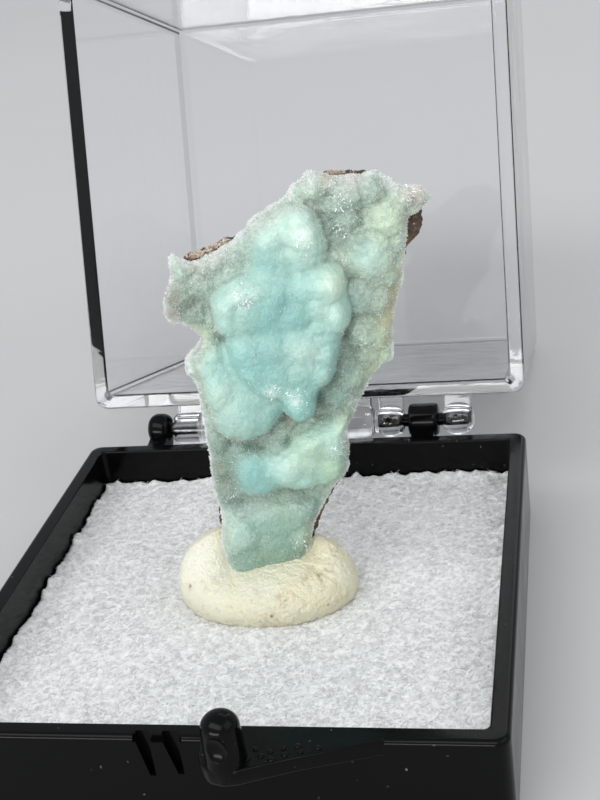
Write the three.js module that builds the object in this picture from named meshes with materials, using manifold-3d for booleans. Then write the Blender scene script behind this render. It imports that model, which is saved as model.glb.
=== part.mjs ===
// A hemimorphite specimen set in putty on the foam pad of a small hinged display box.
// Millimetres, +Z up. The origin is the centre of the tray's underside, and the specimen faces -Y.

import * as THREE from 'three';
import { mergeVertices } from 'three/addons/utils/BufferGeometryUtils.js';
import Module from 'manifold-3d';

// ---------------------------------------------------------------- driving dimensions

const boxSide = 34; // outer side of the tray and of the lid
const boxWall = 1.125; // leaves an opening of 31.75
const cornerRadius = 0.9;
const edgeRound = 0.35;

const trayHeight = 6.8;
const trayFloor = 1.2;

const lidHeight = 29.6;
const lidTop = 1.2;
const lidEdgeRound = 0.6;
const rimGap = 0.2; // between the closed lid and the tray

const hingeSetback = 1.8; // hinge axis behind the tray's back wall
const hingeRise = 0.35; // hinge axis above the tray's rim
const knuckleRadius = 1.25;
const pinRadius = 0.5;
const pinBoreRadius = 0.75;
const hingeGap = 0.2; // side play between the knuckles

const foamTop = 4.0;
const softGap = 0.3; // clearance of the foam, the putty and the stone from their neighbours

const puttyCentre = { x: 0.4, y: 0.3 };
const puttyHalfWidth = 6.05;
const puttyHalfDepth = 3.85;
const puttyBulge = 0.85; // height of its widest part above the foam
const puttyUndercut = 0.98; // radius of the round side below it
const puttyTuck = 0.5; // how far that side draws in
const puttyLip = 2.5; // height above the foam in front of the stone
const puttyLeft = 5.2; // and at the stone's left
const puttyRight = 4.3; // and at its right

const specimenYaw = THREE.MathUtils.degToRad(13.8); // the specimen's face turns towards +X
const specimenPlace = { x: 0.28, y: 1.0 }; // where the back of its crust meets its foot line
const crustPlate = 0.75; // thickness of the crust between its lobes
const crustRim = 0.5; // thickness of the crust at its broken edge
const crustRimWidth = 0.9; // the crust thins towards its edge over this width
const lobeSpread = 1.15; // a lobe's foot beyond its radius
const lobeRise = 0.12; // added to every lobe's swell
const matrixThickness = 1.7;
const matrixEdgeThickness = 0.9;
const matrixRound = 1.2; // the matrix thins towards its edge over this width
const puttyPocket = { right: 3.85, front: 2.0 }; // the pocket's reach in the specimen's own frame

// ---------------------------------------------------------------- derived places

const rimZ = trayHeight;
const halfBox = boxSide / 2;
const hingeAxis = { y: halfBox + hingeSetback, z: rimZ + hingeRise };

// The open lid leans back until the edge between its back wall and its top stands on the ground.
// The centre of that rounded edge is at (-reach, rise) from the hinge axis while the lid is closed.
const edgeReach = hingeSetback + lidEdgeRound;
const edgeRise = rimGap - hingeRise + lidHeight - lidEdgeRound;
const lidRestAngle =
  Math.atan2(edgeReach, edgeRise) +
  Math.acos((lidEdgeRound - hingeAxis.z) / Math.hypot(edgeReach, edgeRise));

// ---------------------------------------------------------------- solids

const wasm = await Module();
wasm.setup();

/** Turns a closed geometry into a solid: vertices are merged and collapsed triangles are dropped. */
function solidOf(geometry) {
  const bare = geometry.clone();
  bare.deleteAttribute('normal');
  bare.deleteAttribute('uv');
  const merged = mergeVertices(bare, 1e-4);
  const corners = merged.index.array;
  const kept = [];
  for (let i = 0; i < corners.length; i += 3) {
    const [a, b, c] = [corners[i], corners[i + 1], corners[i + 2]];
    if (a !== b && b !== c && c !== a) kept.push(a, b, c);
  }
  return new wasm.Manifold(
    new wasm.Mesh({
      numProp: 3,
      vertProperties: Float32Array.from(merged.attributes.position.array),
      triVerts: Uint32Array.from(kept),
    }),
  );
}

/** Turns a solid back into a flat-shaded geometry. */
function geometryOf(solid) {
  const mesh = solid.getMesh();
  const geometry = new THREE.BufferGeometry();
  geometry.setAttribute('position', new THREE.BufferAttribute(Float32Array.from(mesh.vertProperties), 3));
  geometry.setIndex(Array.from(mesh.triVerts));
  const flat = geometry.toNonIndexed();
  flat.computeVertexNormals();
  return flat;
}

const union = (...solids) => solids.reduce((whole, next) => whole.add(next));

/** A square outline with rounded corners, centred on the origin. */
function squareOutline(side, radius) {
  const h = side / 2;
  const c = h - radius;
  const shape = new THREE.Shape();
  shape.moveTo(c, -h);
  shape.absarc(c, -c, radius, -Math.PI / 2, 0);
  shape.absarc(c, c, radius, 0, Math.PI / 2);
  shape.absarc(-c, c, radius, Math.PI / 2, Math.PI);
  shape.absarc(-c, -c, radius, Math.PI, 1.5 * Math.PI);
  shape.closePath();
  return shape;
}

/** A square block from z = low to z = high, its outer edges rounded where round is given. */
function squareBlock(side, radius, low, high, round = 0, curveSegments = 4) {
  const bevel = round
    ? { bevelEnabled: true, bevelThickness: round, bevelSize: round, bevelOffset: -round, bevelSegments: 2 }
    : { bevelEnabled: false };
  const geometry = new THREE.ExtrudeGeometry(squareOutline(side, radius), {
    depth: high - low - 2 * round,
    curveSegments,
    ...bevel,
  });
  geometry.translate(0, 0, low + round);
  return solidOf(geometry);
}

/** A box between two corners. */
function block(low, high) {
  const size = high.map((v, i) => v - low[i]);
  const geometry = new THREE.BoxGeometry(...size);
  geometry.translate(...low.map((v, i) => v + size[i] / 2));
  return solidOf(geometry);
}

/** A flat outline of points, extruded along +Z from z = low to z = high. */
function plate(points, low, high) {
  const shape = new THREE.Shape(points.map(([x, y]) => new THREE.Vector2(x, y)));
  const geometry = new THREE.ExtrudeGeometry(shape, { depth: high - low, bevelEnabled: false });
  geometry.translate(0, 0, low);
  return geometry;
}

/** An outline in the (y, z) plane, extruded along X from x = low to x = high. */
function gusset(points, low, high) {
  const geometry = plate(points, low, high);
  geometry.applyMatrix4(
    new THREE.Matrix4().makeBasis(
      new THREE.Vector3(0, 1, 0),
      new THREE.Vector3(0, 0, 1),
      new THREE.Vector3(1, 0, 0),
    ),
  );
  return solidOf(geometry);
}

/** A turned form on a line along X through (y, z): profile holds [radius, x] from end to end. */
function turnedX(profile, y, z, sides = 18) {
  const geometry = new THREE.LatheGeometry(
    profile.map(([r, x]) => new THREE.Vector2(r, x)),
    sides,
  );
  geometry.rotateZ(-Math.PI / 2);
  geometry.translate(0, y, z);
  return solidOf(geometry);
}

const rodX = (radius, low, high, y, z) =>
  turnedX([[0, low], [radius, low], [radius, high], [0, high]], y, z, 12);

/** A round-ended knuckle: roundness 2 is a ball, and higher powers are fuller barrels. */
function knuckleX(radius, low, high, y, z, roundness) {
  const middle = (low + high) / 2;
  const half = (high - low) / 2;
  const steps = 10;
  const profile = [];
  for (let i = 0; i <= steps; i++) {
    const a = Math.PI * (i / steps - 0.5);
    const along = Math.sign(Math.sin(a)) * Math.abs(Math.sin(a)) ** (2 / roundness);
    profile.push([i % steps ? radius * Math.cos(a) ** (2 / roundness) : 0, middle + half * along]);
  }
  return turnedX(profile, y, z);
}

// ---------------------------------------------------------------- hinge line, from left to right

const leftKnuckle = { low: -12.7, high: -10.7 };
const barrel = { low: leftKnuckle.high + hingeGap, high: 5.45 };
const innerBall = { low: 5.6, high: 7.95 };
const rightKnuckle = { low: 8.15, high: 10.45 };
const outerBall = { low: 10.65, high: 13.15 };
const pinReach = 2; // each pin's length beyond its knuckle

/** The tray's part of the hinge: two knuckles with pins, on gussets from the back wall. */
function trayKnuckles() {
  const { y, z } = hingeAxis;
  const arm = ({ low, high }) =>
    gusset(
      [
        [halfBox - boxWall / 2, rimZ - 2.6],
        [halfBox, rimZ - 2.6],
        [y + 0.9, z - 0.85],
        [y, z],
        [halfBox, rimZ],
        [halfBox - boxWall / 2, rimZ],
      ],
      low + 0.3,
      high - 0.3,
    );
  return union(
    knuckleX(knuckleRadius, leftKnuckle.low, leftKnuckle.high, y, z, 2.6),
    knuckleX(knuckleRadius, rightKnuckle.low, rightKnuckle.high, y, z, 8),
    arm(leftKnuckle),
    arm(rightKnuckle),
    rodX(pinRadius, leftKnuckle.high - 0.4, leftKnuckle.high + pinReach, y, z),
    rodX(pinRadius, rightKnuckle.low - pinReach, rightKnuckle.high + pinReach, y, z),
  );
}

/** The lid's part of the hinge, closed and about the hinge axis: a barrel and two balls on webs. */
function lidKnuckles() {
  const web = ({ low, high }, thickness) =>
    gusset(
      [
        [-hingeSetback - boxWall / 2, 0],
        [0, 0],
        [0, thickness],
        [-hingeSetback - boxWall / 2, thickness + 0.6],
      ],
      low + 0.25,
      high - 0.25,
    );
  return union(
    knuckleX(knuckleRadius, barrel.low, barrel.high, 0, 0, 14),
    knuckleX(knuckleRadius, innerBall.low, innerBall.high, 0, 0, 2.3),
    knuckleX(knuckleRadius, outerBall.low, outerBall.high, 0, 0, 2.3),
    rodX(0.9, barrel.high - 0.3, innerBall.low + 0.4, 0, 0),
    web(barrel, 0.9),
    web(innerBall, 0.8),
    web(outerBall, 0.8),
  );
}

/** The bores in the lid's barrel and balls that the tray's pins turn in. */
function pinBores() {
  const play = 0.25;
  return union(
    rodX(pinBoreRadius, barrel.low - 1, leftKnuckle.high + pinReach + play, 0, 0),
    rodX(pinBoreRadius, rightKnuckle.low - pinReach - play, innerBall.high + 1, 0, 0),
    rodX(pinBoreRadius, outerBall.low - 1, rightKnuckle.high + pinReach + play, 0, 0),
  );
}

// ---------------------------------------------------------------- catch at the front

const catchNotch = { left: -3.4, right: -0.6, depth: 0.3, drop: 0.35 };
const grooveDepth = 0.55;
// Two tapered grooves lean to the right below the notch. Each holds one prong of the lid's catch.
const grooves = [
  { top: [-3.3, -2.45], foot: [-2.8, -2.45], length: 2.7 },
  { top: [-1.75, -0.8], foot: [-1.15, -0.8], length: 2.55 },
];
const ledgeThickness = 1.0;
const ledgeOutline = [
  [10.5, -halfBox + 0.5],
  [10.5, -halfBox],
  [6.2, -18.3],
  [4.3, -19.0],
  [3.1, -19.5],
  [2.3, -19.65],
  [1.5, -19.45],
  [0.95, -18.95],
  [0.7, -18.3],
  [0.5, -halfBox],
  [0.5, -halfBox + 0.5],
];
const post = { x: 2.3, y: -18.5, radius: 1.1, height: 3.0 };

/** An upright wedge in the front wall: a groove's outline, inset on every side. */
function grooveWedge({ top, foot, length }, inset, near, far) {
  const outline = [
    [top[0] + inset, 0],
    [foot[0] + inset, -length + inset],
    [foot[1] - inset, -length + inset],
    [top[1] - inset, 0],
  ];
  const geometry = plate(outline, 0, near - far);
  geometry.rotateX(Math.PI / 2);
  geometry.translate(0, -halfBox + near, 0);
  return geometry;
}

/** The thumb ledge and the domed post that stands on it. */
function thumbCatch() {
  const { x, y, radius, height } = post;
  const domeStart = height - radius * 0.85;
  const profile = [[0, -ledgeThickness], [radius, -ledgeThickness], [radius, domeStart * 0.35]];
  const steps = 6;
  for (let i = 0; i < steps; i++) {
    const a = ((Math.PI / 2) * i) / steps;
    profile.push([radius * 0.97 * Math.cos(a), domeStart + (height - domeStart) * Math.sin(a)]);
  }
  profile.push([0, height]);
  const body = new THREE.LatheGeometry(profile.map(([r, z]) => new THREE.Vector2(r, z)), 18);
  body.rotateX(Math.PI / 2);
  body.translate(x, y, rimZ);
  const scoop = new THREE.SphereGeometry(0.95, 12, 8);
  scoop.scale(1, 1, 1.2);
  scoop.translate(x - 0.1, y - radius - 0.6, rimZ + height * 0.48);
  const ledge = solidOf(plate(ledgeOutline, rimZ - ledgeThickness, rimZ));
  return union(ledge, solidOf(body)).subtract(solidOf(scoop));
}

/** The notch and the two grooves that the lid's prongs snap into. */
function catchRecess() {
  const { left, right, depth, drop } = catchNotch;
  const notch = block([left, -halfBox - 1, rimZ - drop], [right, -halfBox + depth, rimZ + 1]);
  const cuts = grooves.map((groove) => {
    const wedge = grooveWedge(groove, 0, grooveDepth, -1);
    wedge.translate(0, 0, rimZ);
    return solidOf(wedge);
  });
  return union(notch, ...cuts);
}

// ---------------------------------------------------------------- box

function trayGeometry() {
  const cavity = squareBlock(boxSide - 2 * boxWall, 0.4, trayFloor, trayHeight + 1);
  const shell = squareBlock(boxSide, cornerRadius, 0, trayHeight, edgeRound).subtract(cavity);
  return geometryOf(union(shell, thumbCatch(), trayKnuckles()).subtract(catchRecess()).subtract(cavity));
}

/** The lid, modelled closed and about the hinge axis. */
function lidGeometry() {
  const low = rimGap - hingeRise;
  const high = low + lidHeight;
  const outside = squareBlock(boxSide, cornerRadius, low - lidEdgeRound, high, lidEdgeRound);
  const inside = squareBlock(boxSide - 2 * boxWall, 0.4, low - 2, high - lidTop);
  const belowRim = block([-boxSide, -boxSide, low - 3], [boxSide, boxSide, low]);
  const shell = outside.subtract(belowRim).subtract(inside);
  const centred = solidOf(geometryOf(shell).translate(0, -hingeAxis.y, 0));
  const prongs = grooves.map((groove) => {
    const wedge = grooveWedge(groove, 0.14, grooveDepth - 0.17, 0);
    wedge.translate(0, -hingeAxis.y, 0);
    const stem = block(
      [groove.top[0] + 0.14, -hingeAxis.y - halfBox, -hingeRise - 0.1],
      [groove.top[1] - 0.14, -hingeAxis.y - halfBox + grooveDepth - 0.17, low + 0.3],
    );
    wedge.translate(0, 0, -hingeRise);
    return union(solidOf(wedge), stem);
  });
  return geometryOf(union(centred, lidKnuckles(), ...prongs).subtract(pinBores()));
}

function foamGeometry() {
  const side = boxSide - 2 * boxWall - 2 * softGap;
  return geometryOf(squareBlock(side, 0.3, trayFloor + softGap, foamTop, 0.25, 1));
}

// ---------------------------------------------------------------- specimen
// Specimen plane: first number to the right, second number upwards from the tray's rim.

// The broken edge of the crust, clockwise from the left tip.
const crustEdge = [
  [-3.4, 18.0], [-3.1, 19.0], [-2.6, 20.1], [-2.55, 21.1], [-2.3, 21.5], [-1.9, 21.1], [-1.2, 20.75],
  [0.0, 21.1], [0.95, 21.5], [1.65, 22.0], [2.25, 22.3], [2.45, 22.75], [3.2, 23.1], [3.9, 23.5],
  [4.8, 23.9], [5.15, 24.45], [5.8, 24.8], [6.2, 25.15], [6.9, 25.0], [7.6, 24.65], [9.2, 24.55],
  [10.0, 24.6], [10.9, 24.0], [11.5, 23.5], [12.3, 23.45], [12.75, 23.1], [13.1, 22.5], [12.4, 21.9],
  [11.7, 21.45], [11.5, 20.6], [11.3, 19.7], [11.1, 18.7], [10.95, 17.7], [10.6, 17.0], [10.4, 16.3],
  [10.15, 15.4], [9.95, 14.4], [10.0, 13.7], [9.8, 12.75], [9.2, 12.55], [8.4, 11.7], [7.9, 10.85],
  [7.4, 10.2], [7.05, 9.4], [6.6, 8.6], [6.45, 7.9], [6.55, 7.1], [6.35, 6.4], [6.4, 5.8], [5.8, 5.0],
  [5.1, 4.4], [4.3, 3.1], [3.75, 2.2], [3.4, 1.3], [3.2, 0.3], [2.8, -0.6], [1.5, -1.2], [-0.8, -1.3],
  [-2.1, -0.9], [-2.4, 0.2], [-2.5, 1.6], [-2.3, 2.8], [-2.2, 3.8], [-2.3, 4.7], [-2.42, 5.6],
  [-2.35, 7.2], [-2.25, 8.7], [-2.3, 10.2], [-2.24, 11.5], [-2.3, 13.1], [-2.75, 13.9], [-2.6, 14.8],
  [-2.0, 15.3], [-1.5, 15.9], [-1.6, 16.3], [-2.1, 16.75], [-2.65, 17.15], [-3.15, 17.15],
];

// The brown matrix behind it shows past the crust at the upper left, the top, the upper right and
// the two lower edges.
const matrixEdge = [
  [-2.4, 18.3], [-2.1, 20.1], [-1.6, 20.7], [0.0, 21.05], [0.9, 21.4], [1.8, 21.4], [3.4, 22.3],
  [5.2, 23.5], [6.6, 24.35], [7.3, 24.65], [8.4, 24.5], [9.7, 24.3], [11.0, 23.3], [12.2, 22.4],
  [12.7, 21.6], [12.7, 20.7], [12.4, 20.2], [11.8, 19.5], [11.1, 18.7], [10.5, 17.1], [9.9, 15.5],
  [9.5, 13.1], [8.5, 12.1], [7.0, 9.9], [6.1, 8.1], [6.0, 6.1], [5.7, 4.9], [5.15, 4.1], [4.5, 3.1],
  [3.9, 2.0], [3.4, 0.7], [2.8, -0.6], [1.4, -1.1], [-0.8, -1.2], [-2.0, -0.8], [-2.2, 1.6],
  [-2.25, 3.1], [-2.2, 5.5], [-2.0, 9.1], [-2.0, 12.8], [-2.2, 14.0], [-1.2, 15.4], [-1.2, 16.5],
  [-2.3, 17.4],
];

// The raised masses of the crust: height above its flat back, width of the round edge, and outline.
const masses = [
  // the large lobed mass in the middle
  {
    top: 2.55,
    edge: 1.0,
    line: [
      [2.75, 20.0], [2.05, 19.95], [1.3, 19.85], [0.7, 19.65], [0.15, 19.45], [-0.35, 19.0],
      [-0.55, 18.5], [-0.6, 17.8], [-0.55, 17.0], [-0.4, 16.5], [-0.1, 16.2], [-0.1, 15.5],
      [-0.1, 14.85], [0.05, 14.25], [0.3, 13.5], [0.8, 12.75], [1.35, 12.1], [1.9, 11.8], [2.55, 11.6],
      [2.8, 11.05], [3.1, 10.5], [3.7, 10.35], [4.25, 10.6], [4.7, 11.1], [5.0, 11.5], [5.3, 11.95],
      [5.85, 12.3], [6.3, 12.85], [6.5, 13.6], [6.75, 14.4], [7.0, 15.1], [7.25, 15.45], [7.6, 16.05],
      [7.7, 16.85], [7.6, 17.75], [7.6, 18.6], [7.5, 19.3], [7.15, 19.75], [6.55, 20.0], [6.0, 19.95],
      [5.25, 20.0], [4.35, 19.95], [3.5, 19.95],
    ],
  },
  // the round drip at its foot
  {
    top: 2.6,
    edge: 0.6,
    line: [
      [2.8, 12.3], [2.7, 11.5], [2.85, 10.9], [3.25, 10.4], [3.8, 10.2], [4.35, 10.4], [4.75, 10.9],
      [4.9, 11.5], [4.8, 12.3], [3.8, 12.8],
    ],
  },
  // the pale mass above it
  {
    top: 1.65,
    edge: 1.0,
    line: [
      [2.25, 20.6], [2.25, 21.3], [2.25, 22.05], [2.95, 22.7], [3.55, 23.05], [4.2, 23.45],
      [4.9, 23.6], [5.6, 23.55], [6.1, 23.15], [6.5, 22.55], [6.75, 21.65], [6.8, 20.8], [6.85, 20.0],
      [6.55, 19.1], [4.85, 18.75], [3.1, 19.0], [2.4, 19.75],
    ],
  },
  // its brightest lobe
  {
    top: 2.0,
    edge: 0.8,
    line: [
      [4.45, 23.4], [5.35, 23.55], [6.1, 23.15], [6.55, 22.2], [6.7, 21.25], [6.6, 20.5], [5.7, 20.15],
      [4.85, 20.55], [4.25, 21.35], [4.15, 22.5],
    ],
  },
  // the lobes down the left side
  {
    top: 1.75,
    edge: 1.0,
    line: [
      [-1.85, 15.6], [-1.2, 16.1], [-0.35, 16.0], [-0.1, 15.1], [0.0, 14.2], [0.3, 13.1], [0.9, 12.3],
      [1.65, 11.6], [2.6, 11.2], [2.65, 10.4], [2.15, 9.8], [1.45, 9.2], [0.7, 8.85], [0.1, 8.8],
      [-0.7, 9.0], [-1.3, 9.55], [-1.75, 10.65], [-1.9, 11.7], [-1.9, 12.7], [-2.05, 13.75],
      [-2.3, 14.6],
    ],
  },
  // the arm that slants down from the right
  {
    top: 2.1,
    edge: 0.85,
    line: [
      [1.2, 6.95], [1.45, 7.6], [2.05, 8.1], [2.7, 8.35], [3.1, 8.9], [3.55, 9.25], [4.2, 9.45],
      [4.85, 9.75], [5.65, 9.95], [6.45, 10.0], [6.85, 9.8], [6.65, 9.15], [6.4, 8.4], [6.45, 7.5],
      [6.3, 6.55], [5.9, 5.75], [5.25, 5.25], [4.4, 5.15], [3.35, 5.2], [2.4, 5.25], [1.7, 5.6],
      [1.25, 6.15],
    ],
  },
  // the low mass left of the arm
  {
    top: 1.4,
    edge: 0.8,
    line: [
      [-0.85, 8.2], [0.2, 8.25], [1.45, 8.15], [1.8, 7.25], [1.45, 6.45], [1.45, 5.15], [0.6, 4.9],
      [-0.45, 5.4], [-0.95, 6.05], [-1.1, 7.15],
    ],
  },
  // the foot
  {
    top: 1.2,
    edge: 0.9,
    line: [
      [-1.9, 3.65], [-0.95, 4.05], [0.5, 4.35], [1.7, 4.5], [2.95, 4.3], [4.05, 4.1], [3.75, 2.65],
      [3.2, 0.85], [2.35, -0.8], [-0.35, -1.0], [-2.2, -0.8], [-2.3, 1.8],
    ],
  },
];

// The soft lobes that swell out of them and out of the plate: across, up, radius and swell.
const lobes = [
  [1.05, 19.3, 1.15, 0.3], [0.2, 18.4, 1.0, 0.34], [2.2, 19.4, 1.0, 0.22], [0.0, 17.3, 0.95, 0.3],
  [6.5, 19.05, 1.25, 0.5], [6.85, 16.9, 1.0, 0.42], [5.0, 18.85, 0.95, 0.22], [6.0, 17.7, 0.9, 0.3],
  [1.4, 17.7, 1.0, 0.2], [4.4, 15.2, 1.15, 0.42], [2.8, 15.35, 1.05, 0.25], [0.93, 15.3, 1.15, 0.3],
  [1.2, 13.9, 1.1, 0.25], [5.7, 15.9, 0.9, 0.25], [6.0, 14.5, 1.0, 0.32], [5.4, 13.3, 1.0, 0.28],
  [4.2, 13.6, 1.0, 0.3], [2.7, 13.6, 1.1, 0.24], [2.1, 12.45, 0.85, 0.25], [3.8, 11.5, 1.15, 0.45],
  [3.0, 12.3, 0.75, 0.2], [4.9, 12.2, 0.8, 0.2], [5.2, 21.9, 1.2, 0.4], [6.1, 21.2, 0.85, 0.2],
  [4.9, 20.6, 1.1, 0.3], [3.2, 21.9, 1.1, 0.3], [3.2, 20.6, 1.0, 0.2], [9.1, 19.75, 1.55, 0.62],
  [10.4, 21.75, 1.15, 0.5], [8.3, 23.4, 0.95, 0.35], [9.65, 23.55, 0.8, 0.22], [7.6, 22.9, 0.7, 0.25],
  [8.1, 22.0, 0.75, 0.28], [8.5, 21.1, 0.7, 0.2], [8.3, 17.2, 1.1, 0.4], [9.9, 18.2, 0.8, 0.25],
  [8.3, 15.0, 1.0, 0.4], [9.3, 16.9, 0.8, 0.3], [9.1, 14.5, 0.8, 0.25], [8.2, 13.4, 0.7, 0.25],
  [7.2, 12.2, 0.95, 0.4], [6.2, 11.1, 1.0, 0.45], [7.0, 10.4, 0.7, 0.3], [6.4, 24.4, 0.9, 0.3],
  [11.3, 22.9, 0.7, 0.2], [10.8, 20.3, 0.8, 0.25], [1.5, 20.7, 0.8, 0.35], [-0.1, 20.7, 0.75, 0.25],
  [-1.8, 20.5, 0.7, 0.25], [-2.1, 18.8, 0.85, 0.3], [-0.95, 19.4, 0.75, 0.3], [-1.5, 17.7, 0.65, 0.25],
  [0.8, 21.4, 0.7, 0.25], [1.9, 21.7, 0.6, 0.2], [-0.85, 12.7, 1.25, 0.42], [0.3, 11.1, 1.5, 0.75],
  [1.5, 10.6, 1.1, 0.35], [0.7, 12.3, 0.95, 0.35], [2.55, 9.25, 0.65, 0.45], [1.9, 8.6, 0.7, 0.35],
  [3.5, 9.9, 0.5, 0.3], [4.1, 8.7, 1.2, 0.4], [2.4, 7.1, 1.25, 0.42], [5.6, 8.3, 1.1, 0.35],
  [4.0, 7.2, 1.1, 0.25], [5.1, 6.7, 1.0, 0.3], [3.3, 5.9, 0.85, 0.2], [-0.1, 7.3, 1.1, 0.3],
  [0.7, 6.0, 0.95, 0.35], [1.6, 3.4, 1.7, 0.3], [-1.3, 2.4, 1.4, 0.28], [3.0, 3.5, 0.9, 0.2],
  [1.0, 1.2, 1.1, 0.25], [2.6, 1.5, 0.9, 0.2],
];

const specimenFrame = new THREE.Matrix4()
  .makeTranslation(specimenPlace.x, specimenPlace.y, rimZ)
  .multiply(new THREE.Matrix4().makeRotationZ(specimenYaw))
  .multiply(new THREE.Matrix4().makeRotationX(Math.PI / 2));

/** The outline as a smooth closed curve, sampled evenly. */
function smoothEdge(points, samples) {
  const corners = points.map(([x, y]) => new THREE.Vector3(x, y, 0));
  const curve = new THREE.CatmullRomCurve3(corners, true, 'catmullrom', 0.35);
  return curve.getSpacedPoints(samples).slice(0, samples).map((p) => [p.x, p.y]);
}

/** Distance from a point to a closed outline. */
function edgeDistance(x, y, outline) {
  let nearest = Infinity;
  outline.forEach(([ax, ay], i) => {
    const [bx, by] = outline[(i + 1) % outline.length];
    const [ux, uy] = [bx - ax, by - ay];
    const along = ((x - ax) * ux + (y - ay) * uy) / (ux * ux + uy * uy);
    const t = THREE.MathUtils.clamp(along, 0, 1);
    nearest = Math.min(nearest, Math.hypot(x - ax - t * ux, y - ay - t * uy));
  });
  return nearest;
}

/** Two heights joined by a soft crease of the given width. */
function softMax(a, b, width) {
  const h = Math.max(width - Math.abs(a - b), 0) / width;
  return Math.max(a, b) + (h * h * width) / 4;
}

/** A slow, repeatable unevenness between -1 and 1. */
function ripple(x, y, scale) {
  const along = Math.sin(x / scale + 1.7 * Math.sin((y / scale) * 0.8));
  const across = Math.sin((y / scale) * 1.3 + 1.1 * Math.sin(x / scale));
  return (along + across) / 2;
}

/** How far inside a closed outline a point lies, below zero outside it. */
function insetOf(x, y, outline) {
  let inside = false;
  outline.forEach(([ax, ay], i) => {
    const [bx, by] = outline[(i + 1) % outline.length];
    if (ay > y !== by > y && x < ((bx - ax) * (y - ay)) / (by - ay) + ax) inside = !inside;
  });
  return (inside ? 1 : -1) * edgeDistance(x, y, outline);
}

/** How far the soft lobes stand out of their mass. */
function swellHeight(x, y) {
  let swell = 0;
  for (const [cx, cy, radius, rise] of lobes) {
    const d = Math.hypot(x - cx, y - cy) / (lobeSpread * radius);
    if (d < 1) swell = softMax(swell, (rise + lobeRise) * (1 - d * d) ** 0.7, 0.1);
  }
  return swell;
}

/** Height of the crust's face above its flat back. */
function crustHeight(x, y, outline) {
  let height = crustPlate + 0.06 * ripple(x, y, 0.45);
  for (const { top, edge, line } of masses) {
    const inset = insetOf(x, y, line) / edge;
    if (inset > 0) {
      const round = Math.sqrt(1 - (1 - Math.min(inset, 1)) ** 2);
      height = softMax(height, crustRim + (top - crustRim) * round, 0.2);
    }
  }
  height += swellHeight(x, y);
  const inset = Math.min(edgeDistance(x, y, outline) / crustRimWidth, 1);
  return crustRim + (height - crustRim) * Math.sqrt(1 - (1 - inset) ** 2);
}

/** Thickness of the matrix behind the crust, thinner towards its edge. */
function matrixDepth(x, y, outline) {
  const inset = Math.min(edgeDistance(x, y, outline) / matrixRound, 1);
  const rough = 0.25 * ripple(x, y, 0.9) + 0.12 * ripple(y, x, 0.37);
  const middle = matrixThickness + rough;
  return matrixEdgeThickness + (middle - matrixEdgeThickness) * Math.sqrt(1 - (1 - inset) ** 2);
}

/** A block with a plain back at z = base and a face at base + direction * heightAt(x, y). */
function reliefBlock(low, high, pitch, base, direction, heightAt) {
  const columns = Math.ceil((high[0] - low[0]) / pitch);
  const rows = Math.ceil((high[1] - low[1]) / pitch);
  const stride = columns + 1;
  const positions = [];
  for (let j = 0; j <= rows; j++) {
    for (let i = 0; i <= columns; i++) {
      const x = low[0] + i * pitch;
      const y = low[1] + j * pitch;
      positions.push(x, y, base + direction * heightAt(x, y));
    }
  }
  const faces = [];
  const face = (a, b, c) => (direction > 0 ? faces.push(a, b, c) : faces.push(a, c, b));
  for (let j = 0; j < rows; j++) {
    for (let i = 0; i < columns; i++) {
      const a = j * stride + i;
      face(a, a + 1, a + stride + 1);
      face(a, a + stride + 1, a + stride);
    }
  }
  // The rim of the grid, once around, drops to four corners of the back.
  const sides = [
    Array.from({ length: columns + 1 }, (_, i) => i),
    Array.from({ length: rows + 1 }, (_, j) => j * stride + columns),
    Array.from({ length: columns + 1 }, (_, i) => rows * stride + columns - i),
    Array.from({ length: rows + 1 }, (_, j) => (rows - j) * stride),
  ];
  const back = positions.length / 3;
  sides.forEach((rim, k) => {
    const corner = 3 * rim[0];
    positions.push(positions[corner], positions[corner + 1], base);
    const [here, next] = [back + k, back + ((k + 1) % 4)];
    rim.slice(1).forEach((vertex, i) => face(here, vertex, rim[i]));
    face(here, next, rim[rim.length - 1]);
  });
  face(back, back + 2, back + 1);
  face(back, back + 3, back + 2);
  const geometry = new THREE.BufferGeometry();
  geometry.setAttribute('position', new THREE.Float32BufferAttribute(positions, 3));
  geometry.setIndex(faces);
  return solidOf(geometry);
}

/** The relief block cut to an outline. */
function reliefInside(outline, pitch, base, direction, heightAt) {
  const xs = outline.map((p) => p[0]);
  const ys = outline.map((p) => p[1]);
  const low = [Math.min(...xs) - pitch, Math.min(...ys) - pitch];
  const high = [Math.max(...xs) + pitch, Math.max(...ys) + pitch];
  const relief = reliefBlock(low, high, pitch, base, direction, heightAt);
  return relief.intersect(solidOf(plate(outline, -6, 6)));
}

function crustGeometry() {
  const outline = smoothEdge(crustEdge, 130);
  return geometryOf(reliefInside(outline, 0.5, 0, 1, (x, y) => crustHeight(x, y, outline)));
}

function matrixGeometry() {
  const outline = smoothEdge(matrixEdge, 80);
  return geometryOf(reliefInside(outline, 0.95, -softGap, -1, (x, y) => matrixDepth(x, y, outline)));
}

/** How far the putty reaches from its centre in each direction, at its widest. */
function puttyReach(a) {
  const plain = 1 / Math.hypot(Math.cos(a) / puttyHalfWidth, Math.sin(a) / puttyHalfDepth);
  const lump = 0.02 * Math.sin(2 * a + 0.6) + 0.02 * Math.sin(3 * a - 0.9) + 0.01 * Math.sin(5 * a);
  const left = Math.exp(-(((a - THREE.MathUtils.degToRad(195)) / 0.6) ** 2));
  return plain * (1 + lump - 0.045 * left);
}

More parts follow.
